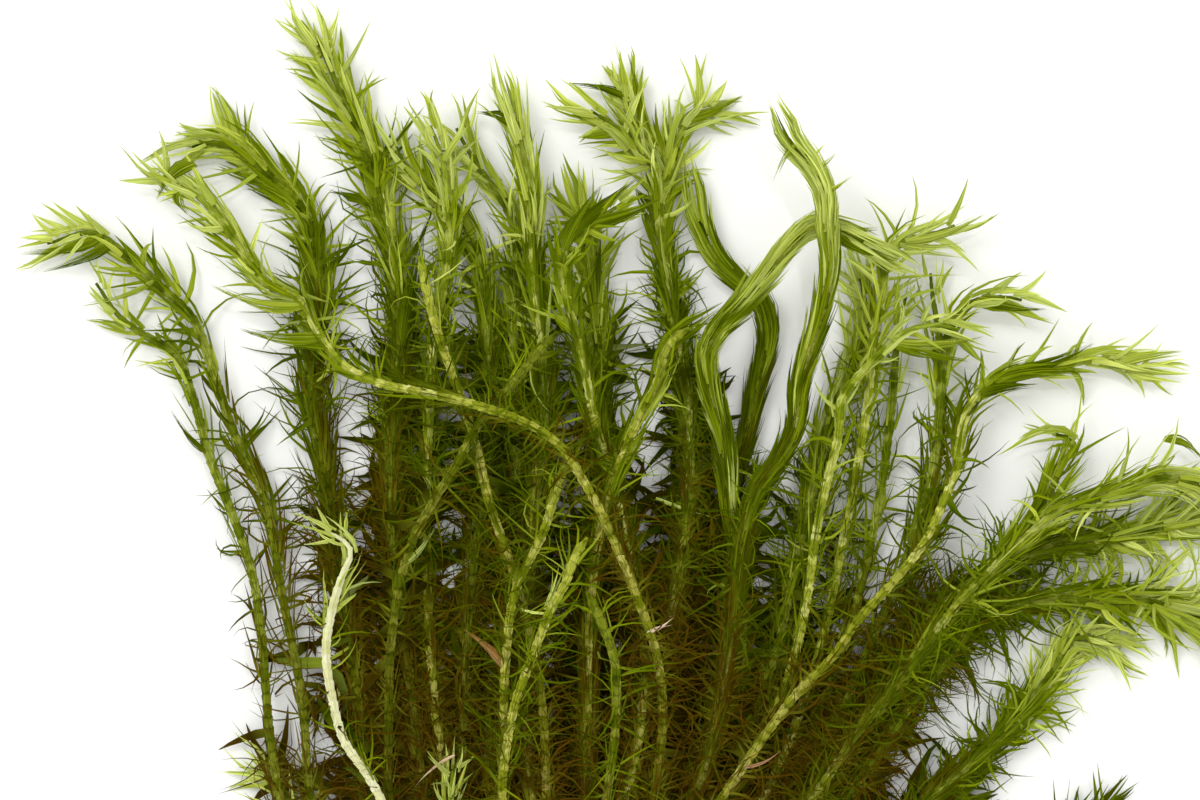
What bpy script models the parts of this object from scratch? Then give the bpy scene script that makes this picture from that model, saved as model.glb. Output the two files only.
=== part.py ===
"""Stream bogmoss, a wet bunch of leafy shoots laid on a flat surface.

Each shoot is one closed solid: a stem along its own route, with its leaves gathered
into pointed tufts that grow from the stem. X runs across the bunch, Y towards the
tips and Z up from the surface, which is at zero. Lengths are in millimetres here and
become metres when the meshes are made.
"""
import math

import bmesh
import bpy
import numpy as np
from mathutils import Vector
from mathutils.bvhtree import BVHTree

MM = 0.001
BUNCH_NAME = "stream_bogmoss"

# The routes below are measured from a point among the leaves. This is the middle of
# the whole bunch seen from there, and it becomes the origin.
BUNCH_MIDDLE = (7.0, -26.1)

# The stem, and how the shoots lie on each other and on the surface.
STEM_RADIUS = 0.85
NEEDLE_RADIUS = 0.12
STEM_GAP = 0.5
LEAF_CUSHION = 1.6
LEAF_SPRING = 0.45
LAY_STEP = 1.0
LAY_SPAN = 9.0
LAY_ROUNDS = 60

# The tufts: a tube of four sides carries one tuft on each side of each stretch. Below
# the leafy part they stand further apart, and near the cut end the stem is bare.
LOWER_STRETCH = 9.5
LOWER_LENGTH = 6.8
LOWER_LEAN = 58.0
BARE_STRETCH = 14.0
BARE_LENGTH = 30.0
TIP_INSET = 3.5
TUFT_TWIST = 0.35
TUFT_GAP = 0.3
TUFT_SHARES = (1.0, 0.8, 0.6, 0.42, 0.25)
CROSSING_ROUNDS = 4
CROSSING_CUT = 0.3
BURIED_HEIGHT = 4.5
BURIED_SLOPE = -0.5

# Each habit: leaf length, lean from the stem in degrees, radius of the leafy stem and
# the stretch of stem that one ring of tufts takes.
HABITS = {
    "leafy": (8.0, 50.0, 1.25, 5.5),
    "sparse": (7.0, 55.0, 1.1, 8.0),
    "brush": (9.5, 24.0, 1.5, 6.5),
    "rope": (8.0, 14.0, 1.7, 9.0),
    "rosette": (9.0, 38.0, 1.4, 5.0),
}

# The shoots from the lowest to the topmost: name, habit, length of the stem that has
# tufts, colour, and the route across the surface from the tip to the cut end.
SHOOTS = (
    ("shoot_centre_behind", "leafy", 45, "dark",
     [(-5, 35), (-2.5, 27), (-1, 16), (0, 3), (0, -11), (-1.5, -27), (-3, -43), (-4.5, -60),
      (-5, -115)]),
    ("shoot_centre_dark", "rope", 40, "dark",
     [(15, 34), (16, 29), (19, 22.5), (23, 18.5), (26, 15.5), (27, 11), (25.5, 3), (23, -8), (18.5, -22),
      (14.5, -37), (10.5, -51), (6, -65), (0, -114)]),
    ("shoot_top_left_inner", "leafy", 60, "green",
     [(-34.5, 45.5), (-32, 39), (-27, 33), (-23, 29.5), (-20, 25), (-18.5, 17.5), (-18, 11), (-18, 0),
      (-19, -16), (-21, -32), (-22, -48), (-22, -64), (-14, -111)]),
    ("shoot_top_slender", "leafy", 55, "green",
     [(-25, 48), (-22, 41.5), (-18.5, 36), (-15, 31), (-13.5, 25.5), (-13.5, 19), (-14, 6), (-13.5, -10),
      (-14, -26), (-15, -42), (-16, -58), (-12, -113)]),
    ("shoot_right_inner_low", "leafy", 50, "green",
     [(53, 25), (53.5, 17.5), (54.5, 11), (55, -3), (53.5, -16), (50.5, -29), (46.5, -42), (41, -54),
      (34, -66), (8, -114)]),
    ("shoot_right_inner", "leafy", 45, "green",
     [(50.5, 21.5), (49, 16), (48, 11), (47, 0), (45.5, -13), (43, -26), (40, -38), (35, -51), (29, -64),
      (6.5, -113)]),
    ("shoot_right_upright", "leafy", 55, "green",
     [(40.5, 24), (42, 19), (43, 13), (40.5, 5), (37, -3), (34, -16), (31, -29), (28, -42), (23, -54),
      (17.5, -66), (3.5, -109)]),
    ("shoot_right_hooked", "leafy", 60, "green",
     [(72, 14.5), (65, 16.5), (58.5, 15), (56, 11), (55, 6.5), (54.5, 0), (53, -13), (49, -26), (44, -38),
      (38.5, -51), (32, -62), (27, -70), (7, -109)]),
    ("shoot_low_right_brown", "sparse", 40, "brown",
     [(85.5, -63), (80, -67), (72, -72), (61, -81), (48, -90), (32, -99), (14, -110)]),
    ("shoot_low_right_pink", "sparse", 40, "brown",
     [(63, -61), (59, -63.5), (54, -68), (46, -76), (34, -89), (12.5, -109)]),
    ("shoot_front_brown", "rope", 45, "brown",
     [(8.5, -44), (3.5, -48), (-1.5, -54), (-6, -60), (-9, -66), (-8, -88), (-7.5, -112)]),
    ("shoot_front_thin", "sparse", 30, "brown",
     [(-11.5, -39), (-11, -48), (-10.5, -54), (-9.5, -59), (-9.5, -70), (-8.5, -106)]),
    ("shoot_front_thin_left", "sparse", 30, "brown",
     [(-18, -49), (-17.5, -56), (-17, -61), (-16.5, -75), (-13, -106)]),
    ("shoot_top_brush", "brush", 70, "green",
     [(-15.5, 51), (-13.5, 44), (-12, 38.5), (-11, 32), (-11, 27), (-10.5, 19), (-9.5, 11), (-9, -3),
      (-10.5, -19), (-11.5, -35), (-12, -51), (-11, -64), (-9, -110)]),
    ("shoot_top_left_pale", "rosette", 55, "pale",
     [(-29.5, 48), (-27, 43.5), (-25, 37.5), (-24, 29.5), (-25, 19), (-26.5, 9.5), (-27.5, -3),
      (-28, -19), (-27.5, -38), (-25.5, -58), (-23, -69), (-16, -109)]),
    ("shoot_top_left_tall", "leafy", 80, "green",
     [(-47.5, 62), (-44, 54.5), (-41, 48), (-38.5, 43), (-36.5, 38.5), (-36, 33.5), (-34, 26.5),
      (-33, 22.5), (-32, 11), (-33, 0), (-33.5, -16), (-32.5, -32), (-30.5, -48), (-28, -64), (-18, -112)]),
    ("shoot_centre_tall", "leafy", 65, "green",
     [(4, 55.5), (5, 47), (7, 42.5), (9.5, 38.5), (10, 34.5), (9.5, 29), (10, 24), (11, 19), (12, 13),
      (13, 6.5), (14, 0), (14.5, -13), (13, -26), (10.5, -38), (7, -51), (4, -64), (-1, -108)]),
    ("branch_centre_right", "rosette", 12, "pale",
     [(23, 47), (18.5, 47), (14.5, 45.5), (12.3, 41.5)]),
    ("branch_centre_left", "rosette", 12, "green",
     [(-5, 49.5), (-1.5, 46.5), (2.5, 44), (6, 39)]),
    ("shoot_left_short", "sparse", 25, "pale",
     [(-57, -57), (-54, -59.5), (-51, -63), (-48, -69), (-43, -80), (-24.5, -113)]),
    ("shoot_left_lower", "sparse", 65, "green",
     [(-84, 22.5), (-81, 18.5), (-77.5, 13.5), (-73.5, 10.5), (-69, 8), (-65.5, 0), (-63, -9),
      (-59, -19), (-56, -28), (-54.5, -38), (-53, -54), (-51.5, -63), (-43, -86), (-27, -108)]),
    ("shoot_top_left_dark", "leafy", 90, "dark",
     [(-70, 39), (-66.5, 40.5), (-61.5, 41.5), (-58, 40), (-54, 36.5), (-49.5, 33), (-47, 29), (-46, 23),
      (-45, 17.5), (-46, 9.5), (-46.5, 1.5), (-45, -8), (-43.5, -17.5), (-42.5, -25.5), (-41, -35),
      (-39, -48), (-37.5, -64), (-22, -110)]),
    ("shoot_right_low", "leafy", 65, "green",
     [(108, -36), (97, -35), (88, -32.5), (80, -32), (72, -32), (65, -33.5), (57.5, -38.5), (49.5, -46.5),
      (43, -54.5), (37, -64), (10, -108)]),
    ("shoot_right_low_hooked", "leafy", 60, "green",
     [(86.5, -42), (80, -38.5), (76, -38.5), (73.5, -43), (71, -46.5), (66.5, -52), (61.5, -57), (56, -61.5),
      (48, -69), (34, -84), (11, -112)]),
    ("shoot_right_low_arch", "leafy", 60, "green",
     [(107, -17), (97, -19.5), (88, -21), (80, -22.5), (73.5, -23.5), (67, -25.5), (61.5, -28.5),
      (56, -31.5), (49, -41), (40, -54.5), (32, -66), (9, -106)]),
    ("shoot_right_curled", "brush", 45, "dark",
     [(69, -7), (72.5, -5.5), (76, -6.5), (74, -11), (71, -17), (64, -25.5), (57.5, -38.5), (49.5, -49.5),
      (41.5, -61), (35, -70), (9.5, -112)]),
    ("shoot_right_rosette", "rosette", 55, "pale",
     [(61, 30), (54.5, 27), (49, 25.5), (46, 22.5), (45.5, 17.5), (44, 11), (43, 0), (41, -13), (38.5, -26),
      (36, -38), (32, -51), (26.5, -64), (6, -107)]),
    ("shoot_front_segmented", "sparse", 70, "pale",
     [(-29, 24), (-27, 14.5), (-25, 8), (-23, 2.5), (-20, -6.5), (-17.5, -17), (-15, -24), (-13, -30.5),
      (-10.5, -40), (-9, -51), (-8.5, -64), (-6.5, -109)]),
    ("shoot_front_pale", "sparse", 60, "pale",
     [(-4, -6.5), (-6.5, -13), (-9, -21), (-13.5, -30.5), (-15, -41.5), (-15.5, -56), (-16, -64),
      (-11, -109)]),
    ("shoot_front_left", "sparse", 70, "green",
     [(-6, 11.5), (-9.5, 8), (-13.5, 3), (-17, -1), (-20, -5), (-23, -10.5), (-26.5, -16), (-30, -22.5),
      (-32, -29), (-33.5, -38.5), (-34, -51), (-34, -64), (-19, -107)]),
    ("shoot_centre_kinked", "leafy", 70, "green",
     [(8, 33.5), (3, 31), (-1.5, 28), (-5, 25.5), (-6, 23), (-5.5, 17.5), (-4, 11), (-2.5, 5), (-1.5, 0),
      (0, -6.5), (2, -13), (4, -22.5), (6.5, -32), (7, -45), (5.5, -58), (3, -67), (-2, -113)]),
    ("shoot_centre_wide", "rope", 50, "pale",
     [(15, 12), (11, 9), (9, 2.5), (6.5, -2.5), (4, -8), (2, -13), (0, -21), (-1.5, -32), (-2, -48),
      (-2, -64), (-4, -110)]),
    ("shoot_wet_rope", "rope", 75, "green",
     [(48, 22), (43, 24.5), (38.5, 27), (34.5, 28), (30.5, 25), (26.5, 20), (22.5, 15), (18.5, 11),
      (17, 8), (17, 5), (18, 0), (19.5, -5), (20.5, -11), (21, -19), (22, -27), (23, -38), (22, -46.5),
      (18.5, -53), (14.5, -58.5), (9.5, -64), (2, -106)]),
    ("shoot_wet_rope_upright", "rope", 60, "dark",
     [(29, 44), (30.5, 41), (33.5, 37.5), (35.5, 33.5), (36, 27), (36.5, 21), (36, 17.5), (35, 13), (33.5, 8),
      (32, 3), (31, -5), (28, -10.5), (25, -14.5), (23, -21), (21.5, -32), (20, -45), (17, -58), (13, -69),
      (2.5, -113)]),
    ("shoot_left_bleached", "sparse", 35, "pale",
     [(-48.5, -19.5), (-44, -21), (-40, -24), (-41.5, -28.5), (-43, -33.5), (-44, -40), (-43, -48),
      (-41, -55), (-37.5, -60), (-34.5, -65.5), (-21, -115)]),
    ("shoot_left_upper", "leafy", 95, "green",
     [(-93.5, 24), (-88, 25.5), (-82, 27), (-76, 23), (-71, 18.5), (-65.5, 13), (-62.5, 5), (-58.5, -6.5),
      (-54, -16), (-51.5, -30), (-48, -48), (-46.5, -64), (-40, -84), (-25, -112)]),
    ("shoot_front_pale_right", "sparse", 50, "pale",
     [(-1.5, -21), (-4, -25), (-5.5, -29), (-8, -33.5), (-9.5, -37.5), (-11, -41.5), (-13, -46.5),
      (-14.5, -53), (-15.5, -61), (-15, -72), (-10, -116)]),
    ("shoot_front_short", "sparse", 25, "green",
     [(-2.5, -29.5), (-0.5, -33.5), (1, -37), (2, -40), (2.5, -51), (1, -64), (-3, -107)]),
    ("shoot_front_rosette", "rosette", 12, "pale",
     [(-23, -54), (-23.5, -59), (-24, -64), (-23, -76), (-15, -116)]),
    ("shoot_right_arching", "leafy", 60, "pale",
     [(108, -15), (101, -15.5), (94, -13), (89.5, -12.5), (85, -14), (80, -15.5), (73.5, -17.5), (69, -21),
      (64, -25.5), (57.5, -32), (50.5, -41.5), (43, -51), (36, -61), (29, -70), (8.5, -110)]),
    ("shoot_right_scarred", "sparse", 70, "pale",
     [(61.5, 9.5), (53, 12), (49, 11), (45.5, 8), (41.5, 4), (39, 1), (38, -6.5), (36, -14.5), (34.5, -22.5),
      (33.5, -30.5), (32, -38.5), (29, -48), (24, -57.5), (19, -67), (5, -111)]),
    ("shoot_right_long", "leafy", 85, "green",
     [(93.5, 4.5), (86.5, 5), (80, 6.5), (73.5, 5.5), (67, 5), (62.5, 2.5), (59, -1.5), (57.5, -6.5),
      (57, -11), (55, -16), (52, -22.5), (47, -29), (41.5, -35), (37, -41.5), (32, -46.5), (27, -53),
      (21.5, -61), (16, -69), (4, -115)]),
    ("shoot_long_arching", "leafy", 75, "pale",
     [(-73.5, 39), (-69, 35), (-65, 33), (-61.5, 29.5), (-59, 26.5), (-56, 22), (-53, 18.5), (-48, 16),
      (-45, 10.5), (-41, 5.5), (-36, 3), (-27, 1), (-19, -1), (-11, -4), (-6.5, -7), (-2.5, -13), (0, -17.5),
      (2.5, -23), (5.5, -30.5), (8, -37), (9.5, -43), (10, -51), (9, -61), (8, -67), (1, -111)]),
)

# Leaf colour of each group of shoots, linear RGB.
COLOURS = {
    "green": (0.16, 0.33, 0.03),
    "dark": (0.06, 0.15, 0.015),
    "pale": (0.38, 0.52, 0.12),
    "brown": (0.15, 0.11, 0.02),
}
LEAF_ROUGHNESS = 0.4


def clear_scene():
    """Removes whatever objects the open file has."""
    for scene_object in list(bpy.data.objects):
        bpy.data.objects.remove(scene_object, do_unlink=True)


def leaf_material(name, colour):
    """The damp, slightly glossy skin of one group of shoots."""
    material = bpy.data.materials.new(name)
    material.use_nodes = True
    shader = material.node_tree.nodes["Principled BSDF"]
    shader.inputs["Base Color"].default_value = (*colour, 1.0)
    shader.inputs["Roughness"].default_value = LEAF_ROUGHNESS
    shader.inputs["Metallic"].default_value = 0.0
    return material


def smooth_route(points, step):
    """A smooth curve through the route's points, with a station at every step of its length.

    Each span is a cubic that leaves and meets its end points along the line between
    their neighbours, scaled to the span's own length.
    """
    knots = np.array(points, dtype=float)
    spans = np.linalg.norm(np.diff(knots, axis=0), axis=1)
    times = np.concatenate([[0.0], np.cumsum(spans)])
    slopes = np.gradient(knots, times, axis=0)
    dense = []
    for start, (length, time) in enumerate(zip(spans, times)):
        share = np.linspace(0.0, 1.0, 24, endpoint=False)[:, None]
        square = share * share
        cube = square * share
        dense.append(
            (2 * cube - 3 * square + 1) * knots[start]
            + (cube - 2 * square + share) * length * slopes[start]
            + (3 * square - 2 * cube) * knots[start + 1]
            + (cube - square) * length * slopes[start + 1]
        )
    dense = np.concatenate(dense + [knots[-1:]])
    run = np.concatenate([[0.0], np.cumsum(np.linalg.norm(np.diff(dense, axis=0), axis=1))])
    count = max(4, int(round(run[-1] / step)) + 1)
    marks = np.linspace(0.0, run[-1], count)
    return np.column_stack([np.interp(marks, run, dense[:, axis]) for axis in range(2)]), marks


def stem_radii(marks, habit, leafy_length):
    """Radius at each station: the leafy girth near the tip, the bare stem further down."""
    girth = HABITS[habit][2]
    fade = np.clip((marks - 0.75 * leafy_length) / (0.25 * leafy_length), 0.0, 1.0)
    return girth + (STEM_RADIUS - girth) * fade


def lay_shoots():
    """Lays the shoots in turn on the surface and on those already laid.

    A station lies at least its own radius and the leaf cushion above the surface, and
    clear of every stem under it by the springy leaves of both. The height is then eased
    along the stem, without going below that least height, as a springy stem bridges
    what it lies on.
    """
    laid = []
    below = np.empty((0, 4))
    for name, habit, leafy_length, _, points in SHOOTS:
        flat, marks = smooth_route(points, LAY_STEP)
        radii = stem_radii(marks, habit, leafy_length)
        leafy = np.clip(1.6 - marks / leafy_length, 0.0, 1.0)
        least = radii + LEAF_CUSHION * leafy
        sprung = radii + LEAF_SPRING * leafy
        if len(below):
            apart = np.linalg.norm(flat[:, None, :] - below[None, :, :2], axis=2)
            reach = sprung[:, None] + below[None, :, 3] + STEM_GAP
            lift = np.sqrt(np.clip(reach ** 2 - apart ** 2, 0.0, None))
            needed = np.where(apart < reach, below[None, :, 2] + lift, 0.0)
            least = np.maximum(least, needed.max(axis=1))
        half = int(LAY_SPAN / LAY_STEP)
        weights = np.hanning(2 * half + 3)[1:-1]
        weights = weights / weights.sum()
        height = least.copy()
        for _ in range(LAY_ROUNDS):
            padded = np.pad(height, half, mode="edge")
            height = np.maximum(least, np.convolve(padded, weights, mode="valid"))
        laid.append((name, flat, marks, height, radii))
        below = np.concatenate([below, np.column_stack([flat, height, sprung])])
    return laid


def ring_marks(total, habit, leafy_length):
    """Where the tube's rings are, with how many stretches are leafy and how many are lower.

    Each leafy and lower stretch carries one ring of tufts, and the rest are long and bare.
    The stem ends a little before the route does, and the first tufts reach the route's end.
    """
    stretch = HABITS[habit][3]
    if total < leafy_length + BARE_LENGTH:
        leafy_count = max(2, int(total / stretch))
        return np.linspace(TIP_INSET, total, leafy_count + 1), leafy_count, 0
    leafy_count = int(round(leafy_length / stretch))
    marks = [TIP_INSET + index * stretch for index in range(leafy_count + 1)]
    lower = max(0.0, total - BARE_LENGTH - marks[-1])
    lower_count = int(lower / LOWER_STRETCH)
    marks += [marks[-1] + LOWER_STRETCH * (index + 1) for index in range(lower_count)]
    rest = total - marks[-1]
    bare_count = max(1, int(round(rest / BARE_STRETCH)))
    marks += [marks[-1] + rest * (index + 1) / bare_count for index in range(bare_count)]
    return np.array(marks), leafy_count, lower_count


def tube_mesh(name, rings, radii):
    """A closed tube of four sides through the rings, made from a bevelled curve."""
    curve = bpy.data.curves.new(name, "CURVE")
    curve.dimensions = "3D"
    curve.bevel_depth = MM
    curve.bevel_resolution = 0
    curve.use_fill_caps = True
    spline = curve.splines.new("POLY")
    spline.points.add(len(rings) - 1)
    for index, point in enumerate(spline.points):
        point.co = (*(rings[index] * MM), 1.0)
        point.radius = radii[index]
        point.tilt = TUFT_TWIST * index
    route_object = bpy.data.objects.new(name + "_route", curve)
    bpy.context.scene.collection.objects.link(route_object)
    depsgraph = bpy.context.evaluated_depsgraph_get()
    mesh = bpy.data.meshes.new_from_object(route_object.evaluated_get(depsgraph))
    bpy.data.objects.remove(route_object, do_unlink=True)
    welded = bmesh.new()
    welded.from_mesh(mesh)
    bmesh.ops.remove_doubles(welded, verts=welded.verts, dist=0.01 * MM)
    bpy.data.meshes.remove(mesh)
    return welded


def tube_faces(tube):
    """The tube's corners in millimetres and its faces, as two plain lists."""
    tube.verts.index_update()
    corners = [vertex.co / MM for vertex in tube.verts]
    return corners, [[vertex.index for vertex in face.verts] for face in tube.faces]


def tuft_faces(corners, tip, share, reach):
    """The four sides of one tuft, its foot drawn in by a share and its tip moved out by a reach."""
    middle = sum(corners, Vector()) / len(corners)
    foot = [middle + (corner - middle) * share for corner in corners]
    point = tip + (tip - middle).normalized() * reach
    return foot + [point], [(0, 1, 4), (1, 2, 4), (2, 3, 4), (3, 0, 4)]


def nearest(places, point):
    """Which of the places is nearest to the point."""
    return min(range(len(places)), key=lambda index: (places[index] - point).length)


def add_faces(store, corners, faces):
    """Adds faces to a store of corners and faces."""
    first = len(store[0])
    store[0].extend(corners)
    store[1].extend([[first + index for index in face] for face in faces])


def touches(corners, faces, tree):
    """Whether the faces meet any face of the tree."""
    return bool(tree is not None and BVHTree.FromPolygons(corners, faces).overlap(tree))


def store_tree(store):
    """A search tree of a store's faces, or nothing while it is empty."""
    if not store[1]:
        return None
    return BVHTree.FromPolygons(store[0], store[1])


def shorten_crossing(tube, feet):
    """Draws tufts back towards their feet where two of the same shoot still cross."""
    for _ in range(CROSSING_ROUNDS):
        tube.faces.ensure_lookup_table()
        tree = BVHTree.FromBMesh(tube)
        for first, second in tree.overlap(tree):
            corners = set(tube.faces[first].verts), set(tube.faces[second].verts)
            if corners[0] & corners[1]:
                continue
            for point in (corners[0] | corners[1]) & feet.keys():
                point.co = point.co.lerp(feet[point], CROSSING_CUT)


def grow_tufts(shoot, others):
    """Draws each side of the tufted stretches out into a tuft that points towards the tip.

    A tuft leans off the stem by the habit's angle, less at the very tip. It is cut
    shorter where another shoot, a tuft of its own shoot or the surface is in its way,
    and left out on the underside of a stem that lies on others.
    """
    leaf_length, lean, _, _ = HABITS[shoot["habit"]]
    draws = np.random.default_rng(shoot["seed"])
    tube = shoot["tube"]
    rings = shoot["rings"]
    tufted_count = shoot["leafy_count"] + shoot["lower_count"]
    middles = [Vector(middle) for middle in (rings[:-1] + rings[1:]) / 2]
    corners, faces = tube_faces(tube)
    stretches = [nearest(middles, face.calc_center_median() / MM) for face in tube.faces]
    stems = [
        store_tree((corners, [face for face, place in zip(faces, stretches) if place != index]))
        for index in range(tufted_count)
    ]
    tubes_only = store_tree(others)
    own = ([], [])
    tips = []
    for face, index in zip(list(tube.faces), stretches):
        if len(face.verts) != 4 or index >= tufted_count:
            continue
        centre = face.calc_center_median() / MM
        along = Vector(rings[index] - rings[index + 1]).normalized()
        outward = centre - middles[index]
        outward = (outward - outward.dot(along) * along).normalized()
        if outward.z < BURIED_SLOPE and centre.z > BURIED_HEIGHT:
            continue
        if index < shoot["leafy_count"]:
            mean_length = leaf_length
            mean_lean = lean * min(1.0, 0.4 + 0.25 * index)
        else:
            mean_length = LOWER_LENGTH
            mean_lean = LOWER_LEAN
        angle = math.radians(mean_lean + draws.uniform(-7.0, 7.0))
        direction = outward * math.sin(angle) + along * math.cos(angle)
        length = mean_length * draws.uniform(0.85, 1.08)
        corners = [vertex.co / MM for vertex in face.verts]
        own_tree = store_tree(own)
        for share in TUFT_SHARES:
            tip = centre + direction * length * share
            tip.z = max(tip.z, 0.0)
            wide = tuft_faces(corners, tip, 1.15, TUFT_GAP)
            slim = tuft_faces(corners, tip, 0.7, TUFT_GAP)
            if not any((touches(*wide, tubes_only), touches(*slim, own_tree), touches(*slim, stems[index]))):
                tips.append((face, tip))
                add_faces(own, *tuft_faces(corners, tip, 1.0, 0.0))
                break
    feet = {}
    for face, tip in tips:
        foot = face.calc_center_median()
        point = bmesh.ops.poke(tube, faces=[face])["verts"][0]
        point.co = tip * MM
        feet[point] = foot
    shorten_crossing(tube, feet)
    return own


def build_shoots():
    """Makes every shoot's tube, then its tufts, from the topmost shoot down."""
    shoots = []
    for seed, (laid, described) in enumerate(zip(lay_shoots(), SHOOTS)):
        name, flat, marks, height, radii = laid
        _, habit, leafy_length, colour, _ = described
        ring_places, leafy_count, lower_count = ring_marks(marks[-1], habit, leafy_length)
        stations = (flat[:, 0] - BUNCH_MIDDLE[0], flat[:, 1] - BUNCH_MIDDLE[1], height)
        rings = np.column_stack([np.interp(ring_places, marks, values) for values in stations])
        ring_radii = np.interp(ring_places, marks, radii)
        ring_radii[0] = NEEDLE_RADIUS
        shoots.append({
            "name": name, "habit": habit, "colour": colour, "seed": seed,
            "rings": rings, "leafy_count": leafy_count, "lower_count": lower_count,
            "tube": tube_mesh(name, rings, ring_radii),
            "guard": tube_mesh(name, rings, ring_radii + TUFT_GAP),
        })
    tufts = {shoot["name"]: ([], []) for shoot in shoots}
    for shoot in reversed(shoots):
        others = ([], [])
        for other in shoots:
            if other is not shoot:
                add_faces(others, *tube_faces(other["guard"]))
                add_faces(others, *tufts[other["name"]])
        tufts[shoot["name"]] = grow_tufts(shoot, others)
    return shoots


def main():
    """Builds the bunch, one named object for each shoot and branch."""
    clear_scene()
    bunch = bpy.data.collections.new(BUNCH_NAME)
    bpy.context.scene.collection.children.link(bunch)
    materials = {name: leaf_material("leaf_" + name, colour) for name, colour in COLOURS.items()}
    for shoot in build_shoots():
        mesh = bpy.data.meshes.new(shoot["name"])
        shoot["tube"].to_mesh(mesh)
        shoot["tube"].free()
        shoot["guard"].free()
        mesh.materials.append(materials[shoot["colour"]])
        bunch.objects.link(bpy.data.objects.new(shoot["name"], mesh))


main()
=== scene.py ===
"""Stream bogmoss, a wet bunch of leafy shoots laid on a white table.

Lengths are in millimetres in the tables below and become metres in the meshes.
"""

import math

import bpy
import numpy as np
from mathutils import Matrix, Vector


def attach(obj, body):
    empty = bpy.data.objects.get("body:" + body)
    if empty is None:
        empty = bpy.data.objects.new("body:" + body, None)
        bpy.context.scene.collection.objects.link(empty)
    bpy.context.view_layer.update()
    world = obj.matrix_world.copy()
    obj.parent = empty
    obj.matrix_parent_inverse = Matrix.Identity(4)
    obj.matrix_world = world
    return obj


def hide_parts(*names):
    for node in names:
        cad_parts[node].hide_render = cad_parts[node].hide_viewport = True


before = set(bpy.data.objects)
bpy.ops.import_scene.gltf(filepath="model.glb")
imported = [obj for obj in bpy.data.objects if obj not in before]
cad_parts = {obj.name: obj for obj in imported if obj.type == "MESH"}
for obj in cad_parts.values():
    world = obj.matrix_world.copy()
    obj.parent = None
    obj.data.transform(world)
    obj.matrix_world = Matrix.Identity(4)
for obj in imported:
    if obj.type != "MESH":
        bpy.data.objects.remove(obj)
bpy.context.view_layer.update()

# The table is a sheet of matt white acrylic. The bunch was photographed from straight
# above it, under a large soft lamp at the upper left and pale walls all round.
MM = 0.001
BUNCH_MIDDLE = (7.0, -26.1)
PHOTO_WIDTH = 192.0
FOCUS_HEIGHT = 8.0
LENS = 135.0
SENSOR = 36.0
TABLE_HALF = 1.6
TABLE_DROP = 0.00005
WALL_STRENGTH = 1.08
# Each lamp: place and side in metres, and watts. The small one makes the wet leaves glint.
LAMPS = {
    "soft_lamp": ((-0.84, 0.76, 1.7), 0.8, 15.0),
    "small_lamp": ((0.25, 0.5, 1.6), 0.06, 3.0),
}


def linear(hex_colour):
    """An sRGB hex colour as linear numbers, opaque."""
    shares = [int(hex_colour[place:place + 2], 16) / 255.0 for place in (1, 3, 5)]
    return tuple(
        share / 12.92 if share <= 0.04045 else ((share + 0.055) / 1.055) ** 2.4 for share in shares
    ) + (1.0,)


def add_node(tree, kind, sockets=(), stops=(), give=0, **settings):
    """Adds a shader node and returns the output that give names or numbers.

    Its sockets, by name or number, take an output, a value or a hex colour. Stops are the
    places and hex colours of a colour ramp. Settings are the node's properties.
    """
    node = tree.nodes.new("ShaderNode" + kind)
    for name, value in settings.items():
        setattr(node, name, value)
    for place, value in dict(sockets).items():
        if isinstance(value, bpy.types.NodeSocket):
            tree.links.new(value, node.inputs[place])
        else:
            node.inputs[place].default_value = linear(value) if isinstance(value, str) else value
    for number, (place, colour) in enumerate(stops):
        if number >= len(node.color_ramp.elements):
            node.color_ramp.elements.new(1.0)
        node.color_ramp.elements[number].position = place
        node.color_ramp.elements[number].color = linear(colour)
    return node.outputs[give] if node.outputs else None


def new_material(name):
    """An empty node material and its tree."""
    material = bpy.data.materials.new(name)
    material.use_nodes = True
    material.node_tree.nodes.clear()
    return material, material.node_tree


def matt_acrylic():
    """Matt white acrylic, faintly warm where the light falls off."""
    material, tree = new_material("matt_acrylic")
    surface = add_node(tree, "BsdfPrincipled", {"Base Color": "#ECECE8", "Roughness": 0.6})
    add_node(tree, "OutputMaterial", {"Surface": surface})
    return material


table_mesh = bpy.data.meshes.new("table")
table_mesh.from_pydata(
    [(x * TABLE_HALF, y * TABLE_HALF, -TABLE_DROP) for x, y in ((-1, -1), (1, -1), (1, 1), (-1, 1))],
    [], [(0, 1, 2, 3)],
)
table_mesh.materials.append(matt_acrylic())
table = bpy.data.objects.new("table", table_mesh)
bpy.context.scene.collection.objects.link(table)

for name, (place, side, watts) in LAMPS.items():
    lamp_data = bpy.data.lights.new(name, "AREA")
    lamp_data.shape = "SQUARE"
    lamp_data.size = side
    lamp_data.energy = watts
    lamp = bpy.data.objects.new(name, lamp_data)
    lamp.location = place
    lamp.rotation_euler = (-Vector(place)).to_track_quat("-Z", "Y").to_euler()
    bpy.context.scene.collection.objects.link(lamp)

walls = bpy.data.worlds.new("pale_walls")
walls.use_nodes = True
walls.node_tree.nodes["Background"].inputs["Color"].default_value = linear("#FFFFFF")
walls.node_tree.nodes["Background"].inputs["Strength"].default_value = WALL_STRENGTH
bpy.context.scene.world = walls
bpy.context.scene.view_settings.view_transform = "Standard"

camera_data = bpy.data.cameras.new("camera")
camera_data.lens = LENS
camera_data.sensor_width = SENSOR
camera = bpy.data.objects.new("camera", camera_data)
camera_height = FOCUS_HEIGHT + PHOTO_WIDTH * LENS / SENSOR
camera.location = (-BUNCH_MIDDLE[0] * MM, -BUNCH_MIDDLE[1] * MM, camera_height * MM)
bpy.context.scene.collection.objects.link(camera)
bpy.context.scene.camera = camera


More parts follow.
